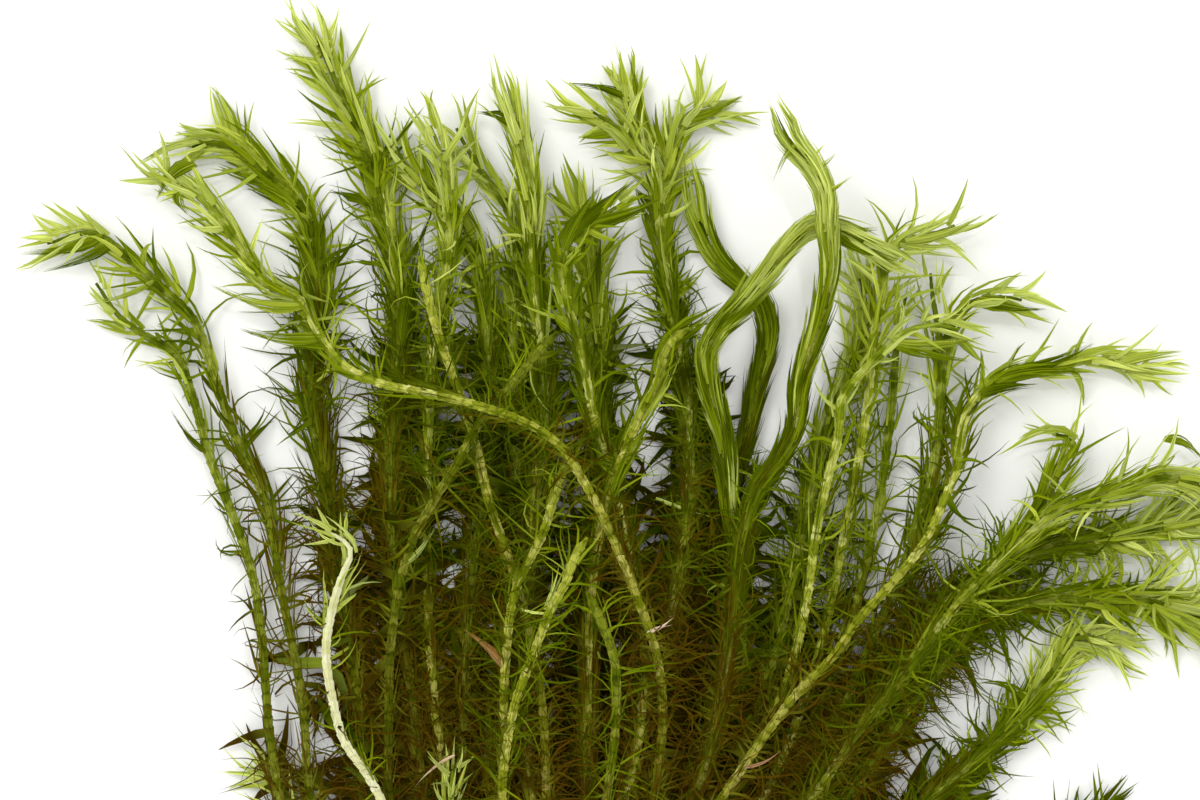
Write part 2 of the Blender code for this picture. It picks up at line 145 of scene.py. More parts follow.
# The shoots as they lie, each on the table and on the shoots under it, held a little
# apart by springy leaves. A shoot is thickest where its young leaves wrap the stem.
STEM_RADIUS = 0.85
STEM_GAP = 0.5
LEAF_CUSHION = 1.6
LEAF_SPRING = 0.45
CUSHION_FADE = 1.6
LAY_STEP = 1.0
LAY_SPAN = 9.0
LAY_ROUNDS = 60
SPAN_PLACES = 24
GIRTHS = {"leafy": 1.25, "sparse": 1.1, "brush": 1.5, "rope": 1.7, "rosette": 1.4}
GIRTH_HOLDS = 0.75
TISSUE_PALENESS = {"pale": 1.0, "green": 0.25, "dark": 0.05, "brown": 0.1}
USUAL_LOOKS = {
    "density": 1.0, "length": 1.0, "age": 0.0, "browning": 1.0, "bare": (0.0, 0.0), "covered": False,
}
# From the lowest shoot to the topmost: name, habit, length of the leafy part, tissue, how
# it looks, and the route from the leaf tips to the cut end, from the middle of the photo.
# A shoot may look denser or longer in its leaves than its habit, older, or browner towards
# its cut end. Its leaves may cling as those of another habit. Its stem may be paler than
# its tissue and be bare from and to a place. Its tip may be covered by other shoots.
SHOOTS = (
    ("shoot_centre_behind", "leafy", 45, "dark", dict(density=1.5),
     [(-5, 35), (-2.5, 27), (-1, 16), (0, 3), (0, -11), (-1.5, -27), (-3, -43), (-4.5, -60),
      (-5, -115)]),
    ("shoot_centre_dark", "rope", 40, "dark", dict(density=1.7),
     [(15, 34), (16, 29), (19, 22.5), (23, 18.5), (26, 15.5), (27, 11), (25.5, 3), (23, -8), (18.5, -22),
      (14.5, -37), (10.5, -51), (6, -65), (0, -114)]),
    ("shoot_top_left_inner", "leafy", 60, "green", dict(density=1.2),
     [(-34.5, 45.5), (-32, 39), (-27, 33), (-23, 29.5), (-20, 25), (-18.5, 17.5), (-18, 11), (-18, 0),
      (-19, -16), (-21, -32), (-22, -48), (-22, -64), (-14, -111)]),
    ("shoot_top_slender", "leafy", 55, "green", dict(density=0.85, length=0.95),
     [(-25, 48), (-22, 41.5), (-18.5, 36), (-15, 31), (-13.5, 25.5), (-13.5, 19), (-14, 6), (-13.5, -10),
      (-14, -26), (-15, -42), (-16, -58), (-12, -113)]),
    ("shoot_right_inner_low", "leafy", 50, "green", dict(density=0.3, browning=1.4),
     [(53, 25), (53.5, 17.5), (54.5, 11), (55, -3), (53.5, -16), (50.5, -29), (46.5, -42), (41, -54),
      (34, -66), (8, -114)]),
    ("shoot_right_inner", "leafy", 45, "green", dict(density=0.38),
     [(50.5, 21.5), (49, 16), (48, 11), (47, 0), (45.5, -13), (43, -26), (40, -38), (35, -51), (29, -64),
      (6.5, -113)]),
    ("shoot_right_upright", "leafy", 55, "green", dict(density=1.4, length=1.1),
     [(40.5, 24), (42, 19), (43, 13), (40.5, 5), (37, -3), (34, -16), (31, -29), (28, -42), (23, -54),
      (17.5, -66), (3.5, -109)]),
    ("shoot_right_hooked", "leafy", 60, "green", dict(density=0.65, browning=1.3),
     [(72, 14.5), (65, 16.5), (58.5, 15), (56, 11), (55, 6.5), (54.5, 0), (53, -13), (49, -26), (44, -38),
      (38.5, -51), (32, -62), (27, -70), (7, -109)]),
    ("shoot_low_right_brown", "sparse", 40, "brown", dict(),
     [(85.5, -63), (80, -67), (72, -72), (61, -81), (48, -90), (32, -99), (14, -110)]),
    ("shoot_low_right_pink", "sparse", 40, "brown", dict(),
     [(63, -61), (59, -63.5), (54, -68), (46, -76), (34, -89), (12.5, -109)]),
    ("shoot_front_brown", "rope", 45, "brown", dict(covered=True),
     [(8.5, -44), (3.5, -48), (-1.5, -54), (-6, -60), (-9, -66), (-8, -88), (-7.5, -112)]),
    ("shoot_front_thin", "sparse", 30, "brown", dict(covered=True),
     [(-11.5, -39), (-11, -48), (-10.5, -54), (-9.5, -59), (-9.5, -70), (-8.5, -106)]),
    ("shoot_front_thin_left", "sparse", 30, "brown", dict(covered=True),
     [(-18, -49), (-17.5, -56), (-17, -61), (-16.5, -75), (-13, -106)]),
    ("shoot_top_brush", "brush", 70, "green", dict(paleness=0.7),
     [(-15.5, 51), (-13.5, 44), (-12, 38.5), (-11, 32), (-11, 27), (-10.5, 19), (-9.5, 11), (-9, -3),
      (-10.5, -19), (-11.5, -35), (-12, -51), (-11, -64), (-9, -110)]),
    ("shoot_top_left_pale", "rosette", 55, "pale", dict(leaves="leafy", length=0.85, age=0.03),
     [(-29.5, 48), (-27, 43.5), (-25, 37.5), (-24, 29.5), (-25, 19), (-26.5, 9.5), (-27.5, -3),
      (-28, -19), (-27.5, -38), (-25.5, -58), (-23, -69), (-16, -109)]),
    ("shoot_top_left_tall", "leafy", 80, "green", dict(density=2.1, length=1.2),
     [(-47.5, 62), (-44, 54.5), (-41, 48), (-38.5, 43), (-36.5, 38.5), (-36, 33.5), (-34, 26.5),
      (-33, 22.5), (-32, 11), (-33, 0), (-33.5, -16), (-32.5, -32), (-30.5, -48), (-28, -64),
      (-18, -112)]),
    ("shoot_centre_tall", "leafy", 65, "green", dict(density=2.3, length=0.85, age=0.02, paleness=0.8),
     [(4, 55.5), (5, 47), (7, 42.5), (9.5, 38.5), (10, 34.5), (9.5, 29), (10, 24), (11, 19), (12, 13),
      (13, 6.5), (14, 0), (14.5, -13), (13, -26), (10.5, -38), (7, -51), (4, -64), (-1, -108)]),
    ("branch_centre_right", "rosette", 12, "pale", dict(density=1.3),
     [(23, 47), (18.5, 47), (14.5, 45.5), (12.3, 41.5)]),
    ("branch_centre_left", "rosette", 12, "green", dict(density=1.3),
     [(-5, 49.5), (-1.5, 46.5), (2.5, 44), (6, 39)]),
    ("shoot_left_short", "sparse", 25, "pale", dict(),
     [(-57, -57), (-54, -59.5), (-51, -63), (-48, -69), (-43, -80), (-24.5, -113)]),
    ("shoot_left_lower", "sparse", 65, "green",
     dict(density=0.75, length=0.9, age=-0.08, browning=1.4, bare=(26, 90)),
     [(-84, 22.5), (-81, 18.5), (-77.5, 13.5), (-73.5, 10.5), (-69, 8), (-65.5, 0), (-63, -9),
      (-59, -19), (-56, -28), (-54.5, -38), (-53, -54), (-51.5, -63), (-43, -86), (-27, -108)]),
    ("shoot_top_left_dark", "leafy", 90, "dark", dict(density=1.9, length=1.25, age=-0.08),
     [(-70, 39), (-66.5, 40.5), (-61.5, 41.5), (-58, 40), (-54, 36.5), (-49.5, 33), (-47, 29), (-46, 23),
      (-45, 17.5), (-46, 9.5), (-46.5, 1.5), (-45, -8), (-43.5, -17.5), (-42.5, -25.5), (-41, -35),
      (-39, -48), (-37.5, -64), (-22, -110)]),
    ("shoot_right_low", "leafy", 65, "green",
     dict(leaves="rosette", density=3.5, length=1.2, age=-0.1, browning=1.5),
     [(108, -36), (97, -35), (88, -32.5), (80, -32), (72, -32), (65, -33.5), (57.5, -38.5), (49.5, -46.5),
      (43, -54.5), (37, -64), (10, -108)]),
    ("shoot_right_low_hooked", "leafy", 60, "green",
     dict(leaves="leafy", density=3.2, length=1.05, age=-0.08, browning=1.6),
     [(86.5, -42), (80, -38.5), (76, -38.5), (73.5, -43), (71, -46.5), (66.5, -52), (61.5, -57),
      (56, -61.5), (48, -69), (34, -84), (11, -112)]),
    ("shoot_right_low_arch", "leafy", 60, "green",
     dict(leaves="leafy", density=2.8, length=1.2, age=-0.12, browning=1.5),
     [(107, -17), (97, -19.5), (88, -21), (80, -22.5), (73.5, -23.5), (67, -25.5), (61.5, -28.5),
      (56, -31.5), (49, -41), (40, -54.5), (32, -66), (9, -106)]),
    ("shoot_right_curled", "brush", 45, "dark", dict(density=1.1, age=-0.1, browning=1.4),
     [(69, -7), (72.5, -5.5), (76, -6.5), (74, -11), (71, -17), (64, -25.5), (57.5, -38.5), (49.5, -49.5),
      (41.5, -61), (35, -70), (9.5, -112)]),
    ("shoot_right_rosette", "rosette", 55, "pale", dict(density=0.75),
     [(61, 30), (54.5, 27), (49, 25.5), (46, 22.5), (45.5, 17.5), (44, 11), (43, 0), (41, -13),
      (38.5, -26), (36, -38), (32, -51), (26.5, -64), (6, -107)]),
    ("shoot_front_segmented", "sparse", 70, "pale", dict(bare=(0, 95), covered=True),
     [(-29, 24), (-27, 14.5), (-25, 8), (-23, 2.5), (-20, -6.5), (-17.5, -17), (-15, -24), (-13, -30.5),
      (-10.5, -40), (-9, -51), (-8.5, -64), (-6.5, -109)]),
    ("shoot_front_pale", "sparse", 60, "pale", dict(bare=(0, 60), covered=True),
     [(-4, -6.5), (-6.5, -13), (-9, -21), (-13.5, -30.5), (-15, -41.5), (-15.5, -56), (-16, -64),
      (-11, -109)]),
    ("shoot_front_left", "sparse", 70, "green", dict(bare=(0, 90), covered=True),
     [(-6, 11.5), (-9.5, 8), (-13.5, 3), (-17, -1), (-20, -5), (-23, -10.5), (-26.5, -16), (-30, -22.5),
      (-32, -29), (-33.5, -38.5), (-34, -51), (-34, -64), (-19, -107)]),
    ("shoot_centre_kinked", "leafy", 70, "green",
     dict(density=1.5, length=0.72, age=0.1, bare=(14, 60), paleness=0.8),
     [(8, 33.5), (3, 31), (-1.5, 28), (-5, 25.5), (-6, 23), (-5.5, 17.5), (-4, 11), (-2.5, 5), (-1.5, 0),
      (0, -6.5), (2, -13), (4, -22.5), (6.5, -32), (7, -45), (5.5, -58), (3, -67), (-2, -113)]),
    ("shoot_centre_wide", "rope", 50, "pale", dict(bare=(0, 60), covered=True),
     [(15, 12), (11, 9), (9, 2.5), (6.5, -2.5), (4, -8), (2, -13), (0, -21), (-1.5, -32), (-2, -48),
      (-2, -64), (-4, -110)]),
    ("shoot_wet_rope", "rope", 75, "green", dict(density=1.7, age=-0.15, bare=(72, 100), paleness=0.6),
     [(48, 22), (43, 24.5), (38.5, 27), (34.5, 28), (30.5, 25), (26.5, 20), (22.5, 15), (18.5, 11),
      (17, 8), (17, 5), (18, 0), (19.5, -5), (20.5, -11), (21, -19), (22, -27), (23, -38), (22, -46.5),
      (18.5, -53), (14.5, -58.5), (9.5, -64), (2, -106)]),
    ("shoot_wet_rope_upright", "rope", 60, "dark", dict(density=1.9, age=-0.2, paleness=0.6),
     [(29, 44), (30.5, 41), (33.5, 37.5), (35.5, 33.5), (36, 27), (36.5, 21), (36, 17.5), (35, 13),
      (33.5, 8), (32, 3), (31, -5), (28, -10.5), (25, -14.5), (23, -21), (21.5, -32), (20, -45),
      (17, -58), (13, -69), (2.5, -113)]),
    ("shoot_left_bleached", "sparse", 35, "pale", dict(density=0.5, length=0.85, bare=(6, 60)),
     [(-48.5, -19.5), (-44, -21), (-40, -24), (-41.5, -28.5), (-43, -33.5), (-44, -40), (-43, -48),
      (-41, -55), (-37.5, -60), (-34.5, -65.5), (-21, -115)]),
    ("shoot_left_upper", "leafy", 95, "green",
     dict(density=0.8, length=1.05, age=-0.1, browning=1.5, bare=(75, 110)),
     [(-93.5, 24), (-88, 25.5), (-82, 27), (-76, 23), (-71, 18.5), (-65.5, 13), (-62.5, 5), (-58.5, -6.5),
      (-54, -16), (-51.5, -30), (-48, -48), (-46.5, -64), (-40, -84), (-25, -112)]),
    ("shoot_front_pale_right", "sparse", 50, "pale", dict(bare=(0, 50), covered=True),
     [(-1.5, -21), (-4, -25), (-5.5, -29), (-8, -33.5), (-9.5, -37.5), (-11, -41.5), (-13, -46.5),
      (-14.5, -53), (-15.5, -61), (-15, -72), (-10, -116)]),
    ("shoot_front_short", "sparse", 25, "green", dict(bare=(0, 40), covered=True),
     [(-2.5, -29.5), (-0.5, -33.5), (1, -37), (2, -40), (2.5, -51), (1, -64), (-3, -107)]),
    ("shoot_front_rosette", "rosette", 12, "pale",
     dict(leaves="sparse", density=0.5, length=0.65, age=0.05),
     [(-23, -54), (-23.5, -59), (-24, -64), (-23, -76), (-15, -116)]),
    ("shoot_right_arching", "leafy", 60, "pale",
     dict(leaves="brush", density=1.6, length=1.1, age=-0.05, paleness=0.5),
     [(108, -15), (101, -15.5), (94, -13), (89.5, -12.5), (85, -14), (80, -15.5), (73.5, -17.5), (69, -21),
      (64, -25.5), (57.5, -32), (50.5, -41.5), (43, -51), (36, -61), (29, -70), (8.5, -110)]),
    ("shoot_right_scarred", "sparse", 70, "pale", dict(density=0.85, bare=(16, 72)),
     [(61.5, 9.5), (53, 12), (49, 11), (45.5, 8), (41.5, 4), (39, 1), (38, -6.5), (36, -14.5),
      (34.5, -22.5), (33.5, -30.5), (32, -38.5), (29, -48), (24, -57.5), (19, -67), (5, -111)]),
    ("shoot_right_long", "leafy", 85, "green",
     dict(density=0.85, age=-0.1, browning=1.3, bare=(62, 125), paleness=1.0),
     [(93.5, 4.5), (86.5, 5), (80, 6.5), (73.5, 5.5), (67, 5), (62.5, 2.5), (59, -1.5), (57.5, -6.5),
      (57, -11), (55, -16), (52, -22.5), (47, -29), (41.5, -35), (37, -41.5), (32, -46.5), (27, -53),
      (21.5, -61), (16, -69), (4, -115)]),
    ("shoot_long_arching", "leafy", 75, "pale", dict(density=1.1, length=1.1, age=-0.02, bare=(46, 142)),
     [(-73.5, 39), (-69, 35), (-65, 33), (-61.5, 29.5), (-59, 26.5), (-56, 22), (-53, 18.5), (-48, 16),
      (-45, 10.5), (-41, 5.5), (-36, 3), (-27, 1), (-19, -1), (-11, -4), (-6.5, -7), (-2.5, -13),
      (0, -17.5), (2.5, -23), (5.5, -30.5), (8, -37), (9.5, -43), (10, -51), (9, -61), (8, -67), (1, -111)]),
)


def read_line(line, marks, places):
    """A line at places between its marks, axis by axis."""
    return np.column_stack([np.interp(places, marks, line[:, axis]) for axis in range(line.shape[1])])


def smooth_route(points, step):
    """A smooth curve through the route's points, with a station at every step of its length.

    Each span is a cubic that leaves and meets its end points along the line between
    their neighbours, scaled to the span's own length.
    """
    knots = np.array(points, dtype=float)
    spans = np.linalg.norm(np.diff(knots, axis=0), axis=1)
    slopes = np.gradient(knots, np.concatenate([[0.0], np.cumsum(spans)]), axis=0)
    share = np.linspace(0.0, 1.0, SPAN_PLACES, endpoint=False)[:, None]
    square = share * share
    cube = square * share
    dense = []
    for start, length in enumerate(spans):
        dense.append(
            (2 * cube - 3 * square + 1) * knots[start]
            + (cube - 2 * square + share) * length * slopes[start]
            + (3 * square - 2 * cube) * knots[start + 1]
            + (cube - square) * length * slopes[start + 1]
        )
    dense = np.concatenate(dense + [knots[-1:]])
    run = np.concatenate([[0.0], np.cumsum(np.linalg.norm(np.diff(dense, axis=0), axis=1))])
    marks = np.linspace(0.0, run[-1], int(round(run[-1] / step)) + 1)
    return read_line(dense, run, marks), marks


def stem_radii(marks, habit, leafy_length):
    """Radius at each station: the leafy girth near the tip, the bare stem further down."""
    girth = GIRTHS[habit]
    fade = (marks - GIRTH_HOLDS * leafy_length) / ((1.0 - GIRTH_HOLDS) * leafy_length)
    return girth + (STEM_RADIUS - girth) * np.clip(fade, 0.0, 1.0)


def ease_height(least):
    """A height that is smooth along the stem and nowhere below the least.

    It is averaged over a bell-shaped stretch and lifted back to the least, many times,
    as a springy stem bridges what it lies on.
    """
    half = int(LAY_SPAN / LAY_STEP)
    weights = np.hanning(2 * half + 3)[1:-1]
    weights = weights / weights.sum()
    height = least.copy()
    for _ in range(LAY_ROUNDS):
        padded = np.pad(height, half, mode="edge")
        height = np.maximum(least, np.convolve(padded, weights, mode="valid"))
    return height


def lay_shoots():
    """Lays the shoots in turn on the surface and on those already laid.

    A station lies at least its own radius and the leaf cushion above the surface, and
    clear of every stem under it by the springy leaves of both.
    """
    laid = {}
    below = np.empty((0, 4))
    for name, habit, leafy_length, tissue, looks, points in SHOOTS:
        flat, marks = smooth_route(points, LAY_STEP)
        radii = stem_radii(marks, habit, leafy_length)
        leafy = np.clip(CUSHION_FADE - marks / leafy_length, 0.0, 1.0)
        least = radii + LEAF_CUSHION * leafy
        sprung = radii + LEAF_SPRING * leafy
        if len(below):
            apart = np.linalg.norm(flat[:, None, :] - below[None, :, :2], axis=2)
            reach = sprung[:, None] + below[None, :, 3] + STEM_GAP
            lift = np.sqrt(np.clip(reach ** 2 - apart ** 2, 0.0, None))
            needed = np.where(apart < reach, below[None, :, 2] + lift, 0.0)
            least = np.maximum(least, needed.max(axis=1))
        height = ease_height(least)
        middle = np.column_stack([flat - BUNCH_MIDDLE, height])
        laid[name] = {
            **USUAL_LOOKS, "leaves": habit, "paleness": TISSUE_PALENESS[tissue], **looks,
            "leafy": leafy_length, "tissue": tissue, "marks": marks, "middle": middle,
        }
        below = np.concatenate([below, np.column_stack([flat, height, sprung])])
    return laid


shoots = lay_shoots()

# The two side branches grow out of the tall shoot's stem, at these places from its tip.
BRANCH_PLACES = {"branch_centre_right": 25.0, "branch_centre_left": 19.0}
trunk = shoots["shoot_centre_tall"]
for name, place in BRANCH_PLACES.items():
    branch = shoots[name]
    gap = read_line(trunk["middle"], trunk["marks"], [place])[0] - branch["middle"][-1]
    length = np.linalg.norm(gap)
    steps = int(np.ceil(length / LAY_STEP))
    shares = np.arange(1, steps + 1) / steps
    branch["middle"] = np.concatenate([branch["middle"], branch["middle"][-1] + gap * shares[:, None]])
    branch["marks"] = np.concatenate([branch["marks"], branch["marks"][-1] + length * shares])


# Each stem is a soft cord of water plant tissue, paler where it is thick and old. The feet
# of dropped leaves stay on it as overlapping sheaths with ragged dark edges.
APEX = 4.5
APEX_RADIUS = 0.3
APEX_TAPER = 14.0
TABLE_TOP = 0.015
JOINT_PITCH = 1.7
# Each joint's stations: share of its length, and radius.
LEDGES = ((0.06, 1.05), (0.94, 0.86))
STEM_AROUND = 6
STEM_SHARP = 40.0
FADE_LENGTH = 110.0
STEM_AGING = 0.8
TISSUE_AGE = {"pale": -0.05, "green": 0.0, "dark": 0.12, "brown": 0.45}
# A covered stem's tip doesn't show, so it is blunt.
COVERED_APEX = 0.8
COVERED_TAPER = 2.0
COVERED_STEM_AGE = 0.4


def frames_along(shoot, places):
    """Middle, direction to the tip, sideways and upwards at places along a shoot.

    The direction is the slope of the middle line. Sideways is level and square to it,
    and upwards is square to both.
    """
    middle = read_line(shoot["middle"], shoot["marks"], places)
    tipward = read_line(-np.gradient(shoot["middle"], shoot["marks"], axis=0), shoot["marks"], places)
    tipward /= np.linalg.norm(tipward, axis=1)[:, None]
    sideways = np.cross(tipward, (0.0, 0.0, 1.0))
    sideways /= np.linalg.norm(sideways, axis=1)[:, None]
    return middle, tipward, sideways, np.cross(sideways, tipward)


def strand_faces(count, stations, around):
    """Faces of like strands, each a grid from its foot to its tip and a corner at the point.

    The wall is quads, the point a fan of triangles and the foot one flat face. Strand,
    station and corner number the corners in that order.
    """
    size = stations * around + 1
    first = np.arange(count)[:, None, None] * size
    rows = np.arange(stations - 1)[None, :, None] * around
    columns = np.arange(around)[None, None, :]
    following = (columns + 1) % around
    here = first + rows + columns
    beside = first + rows + following
    walls = np.stack([here, beside, beside + around, here + around], -1)
    last = first + (stations - 1) * around
    point = np.broadcast_to(first + size - 1, last.shape[:2] + (around,))
    points = np.stack([last + columns, last + following, point], -1)
    feet = (first + columns[:, :, ::-1]).reshape(count, around)
    return [walls.reshape(-1, 4), points.reshape(-1, 3), feet]


def strand_piece(name, grid, point, attributes, material, sharp_angle):
    """A mesh of like strands from a grid in millimetres: strand, station, corner, place.

    No corner is below the top of the table.
    """
    count, stations, around, _ = grid.shape
    corners = np.concatenate([grid.reshape(count, -1, 3), point[:, None, :]], axis=1).reshape(-1, 3)
    corners[:, 2] = np.maximum(corners[:, 2], TABLE_TOP)
    faces = strand_faces(count, stations, around)
    sizes = np.concatenate([np.full(len(part), part.shape[1]) for part in faces])
    loops = np.concatenate([part.ravel() for part in faces])
    mesh = bpy.data.meshes.new(name)
    mesh.vertices.add(len(corners))
    mesh.vertices.foreach_set("co", (corners * MM).astype(np.float32).ravel())
    mesh.loops.add(len(loops))
    mesh.loops.foreach_set("vertex_index", loops.astype(np.int32))
    mesh.polygons.add(len(sizes))
    mesh.polygons.foreach_set("loop_start", (np.cumsum(sizes) - sizes).astype(np.int32))
    mesh.update(calc_edges=True)
    for label, values in attributes.items():
        whole = np.broadcast_to(values, (count, stations, around)).reshape(count, -1)
        whole = np.concatenate([whole, whole[:, -1:]], axis=1)
        layer = mesh.attributes.new(label, "FLOAT", "POINT")
        layer.data.foreach_set("value", whole.astype(np.float32).ravel())
    mesh.shade_smooth()
    mesh.set_sharp_from_angle(angle=math.radians(sharp_angle))
    mesh.materials.append(material)
    piece = bpy.data.objects.new(name, mesh)
    bpy.context.scene.collection.objects.link(piece)
    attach(piece, "root")
    return piece


def stem_grid(shoot, apex, taper_length):
    """The stem's skin: stations from the cut end to the apex, corners around it.

    The radius tapers to the apex. In each joint it steps down from the sheath's ledge
    to the foot of the next sheath.
    """
    joints = int((shoot["marks"][-1] - apex) / JOINT_PITCH)
    shares, sizes = np.array(LEDGES).T
    run = (np.arange(joints)[:, None] + shares[None, :]).ravel()[::-1]
    places = apex + run * JOINT_PITCH
    middle, _, sideways, upwards = frames_along(shoot, places)
    around = np.arange(STEM_AROUND) * 2.0 * math.pi / STEM_AROUND
    taper = APEX_RADIUS + (1.0 - APEX_RADIUS) * np.clip((places - apex) / taper_length, 0.0, 1.0)
    radius = STEM_RADIUS * taper * np.tile(sizes, joints)[::-1]
    turned = around[None, :, None]
    ring = np.cos(turned) * upwards[:, None, :] + np.sin(turned) * sideways[:, None, :]
    return (middle[:, None, :] + radius[:, None, None] * ring)[None], places, run, around


def fine_streaks(tree, place, squeeze, stops, detail):
    """Streaks along a strand: noise over squeezed places, through a colour ramp."""
    squeezed = add_node(tree, "VectorMath", {0: place, 1: squeeze}, operation="MULTIPLY")
    noise = add_node(tree, "TexNoise", {"Vector": squeezed, "Scale": 1.0, "Detail": detail})
    return add_node(tree, "ValToRGB", {"Fac": noise}, stops)


def lay_over(tree, colour, layers):
    """The colour with layers laid over it in turn, each with its share, colour and blend."""
    for share, over, blend in layers:
        colour = add_node(
            tree, "Mix", {0: share, 6: colour, 7: over}, give=2, data_type="RGBA", blend_type=blend,
        )
    return colour


def stem_tissue(name, cells, rims, streak_share, aging):
    """Soft stem tissue under overlapping pale sheaths with ragged dark edges, wet and glossy.

    The pattern's place is the place round the stem, across, and the joint's number, along.
    """
    material, tree = new_material(name)
    age, run, ring_x, ring_y, paleness = [
        add_node(tree, "Attribute", give="Fac", attribute_name=label)
        for label in ("age", "run", "ring_x", "ring_y", "paleness")
    ]
    place = add_node(tree, "CombineXYZ", {"X": ring_x, "Y": ring_y, "Z": run})
    wobble = add_node(tree, "TexNoise", {"Vector": place, "Scale": 2.2, "Detail": 2.0}, give="Color")
    wide = add_node(tree, "VectorMath", {0: place, 1: (0.3, 0.3, 1.15)}, operation="MULTIPLY")
    torn = add_node(
        tree, "VectorMath", {0: wobble, 1: (0.5, 0.5, 1.0), 2: wide}, operation="MULTIPLY_ADD",
    )
    sheath = add_node(
        tree, "TexVoronoi", {"Vector": torn, "Scale": 0.8, "Smoothness": 0.5}, give="Color",
        feature="SMOOTH_F1",
    )
    edge = add_node(
        tree, "TexVoronoi", {"Vector": torn, "Scale": 0.8, "Randomness": 0.7}, give="Distance",
        feature="DISTANCE_TO_EDGE",
    )
    patch = add_node(tree, "ValToRGB", {"Fac": sheath}, cells)
    rim = add_node(tree, "ValToRGB", {"Fac": edge}, rims)
    ripe = add_node(
        tree, "MapRange", {"Value": age, "From Min": 0.1, "From Max": 0.5, "To Min": 0.1, "To Max": 0.7},
    )
    streak = fine_streaks(tree, place, (4.5, 4.5, 0.9), ((0.36, "#76841C"), (0.56, "#FFFFFF")), 3.0)
    tone = add_node(
        tree, "ValToRGB", {"Fac": age},
        ((0.0, "#A8BC48"), (0.3, "#F4F4C4"), (0.6, "#D8D08C"), (1.0, "#A49044")),
    )
    sap = add_node(tree, "Mix", {0: paleness, 6: "#8E9C20", 7: "#F4F4E0"}, give=2, data_type="RGBA")
    colour = lay_over(tree, patch, (
        (ripe, rim, "MULTIPLY"), (streak_share, streak, "MULTIPLY"), (aging, tone, "MULTIPLY"),
        (1.0, sap, "MULTIPLY"),
    ))
    skin = add_node(tree, "BsdfPrincipled", {
        "Base Color": colour, "Roughness": 0.28, "IOR": 1.38, "Specular IOR Level": 0.18,
        "Specular Tint": "#DCE450", "Subsurface Weight": 0.25, "Subsurface Scale": 0.0008,
        "Subsurface Radius": (0.8, 1.0, 0.3),
    })
    add_node(tree, "OutputMaterial", {"Surface": skin})
    return material


green_stem = stem_tissue(
    "green_stem_tissue", ((0.2, "#869422"), (0.4, "#A4AE46"), (0.6, "#C4C878"), (0.8, "#E2E4B2")),
    ((0.0, "#6C7420"), (0.05, "#B0B464"), (0.13, "#FFFFFF")), 0.7, 0.85,
)
# One shoot is bleached, nearly white.
bleached_stem = stem_tissue(
    "bleached_stem_tissue", ((0.2, "#DCDAB4"), (0.8, "#F0EEDC")), ((0.0, "#8C8A58"), (0.12, "#FFFFFF")),
    0.3, 0.15,
)
for name, shoot in shoots.items():
    covered = shoot["covered"]
    apex = COVERED_APEX if covered else APEX
    grid, places, run, around = stem_grid(shoot, apex, COVERED_TAPER if covered else APEX_TAPER)
    age = TISSUE_AGE[shoot["tissue"]] + places / FADE_LENGTH * STEM_AGING
    values = {
        "age": np.clip(age + (COVERED_STEM_AGE if covered else 0.0), 0.0, 1.0)[None, :, None],
        "run": run[None, :, None],
        "paleness": shoot["paleness"],
        "ring_x": np.cos(around)[None, None, :],
        "ring_y": np.sin(around)[None, None, :],
    }
    skin = bleached_stem if name == "shoot_left_bleached" else green_stem
    stem = strand_piece("stem_" + name, grid, grid[:, -1].mean(axis=1), values, skin, STEM_SHARP)


# The leaves are soft pointed blades that grow all round the stem in a spiral. Out of the
# water they collapse: many cling to the stem or to each other in wet points, the rest
# stand off sideways. The lower ones are thin curled threads, brownish, matted underneath.
YOUNG_LENGTH = 50.0
OLD_FROM = 0.34
COVERED_SHARE = 0.8
# For each habit, at shares of the leafy length: leaves a millimetre, leaf length, width,
# lean at the foot and lean at the point. Then the share of leaves that cling to the stem,
# their lean, and how many of the other leaves stick together in points.
HABIT_SHARES = (0.0, 0.1, 0.3, 0.6, 1.0, 2.5)
HABIT_LEAVES = {
    "leafy": (
        (5.2, 4.8, 5.6, 6.8, 7.8, 6.4), (5.2, 8.2, 9.8, 9.6, 9.2, 8.8), (0.75, 0.92, 0.7, 0.44, 0.35, 0.32),
        (34, 40, 46, 54, 62, 64), (36, 38, 44, 54, 70, 74), 0.46, 10.0, 0.5,
    ),
    "sparse": (
        (5.0, 5.0, 5.5, 6.5, 7.5, 6.4), (5.0, 7.6, 8.6, 9.0, 9.0, 8.8), (0.62, 0.74, 0.52, 0.38, 0.33, 0.3),
        (34, 40, 48, 56, 64, 64), (38, 42, 54, 64, 74, 76), 0.34, 10.0, 0.4,
    ),
    "brush": (
        (7.0, 8.0, 8.0, 8.0, 8.0, 6.4), (6.5, 10.0, 11.0, 10.0, 9.5, 9.0),
        (0.62, 0.8, 0.66, 0.46, 0.36, 0.32),
        (16, 16, 20, 30, 44, 48), (28, 32, 40, 60, 78, 80), 0.62, 8.0, 0.4,
    ),
    "rope": (
        (12.0, 12.0, 12.0, 11.0, 8.0, 6.4), (7.0, 9.5, 10.5, 10.5, 9.5, 9.0),
        (0.55, 0.6, 0.55, 0.45, 0.36, 0.32),
        (8, 14, 22, 32, 44, 48), (14, 24, 34, 58, 78, 80), 1.65, 4.5, 0.6,
    ),
    "rosette": (
        (6.0, 5.6, 6.0, 7.2, 7.8, 6.4), (6.0, 9.2, 10.4, 9.8, 9.2, 8.8), (0.75, 0.95, 0.8, 0.5, 0.36, 0.32),
        (34, 42, 48, 54, 60, 60), (44, 50, 56, 64, 76, 78), 0.3, 10.0, 0.5,
    ),
}


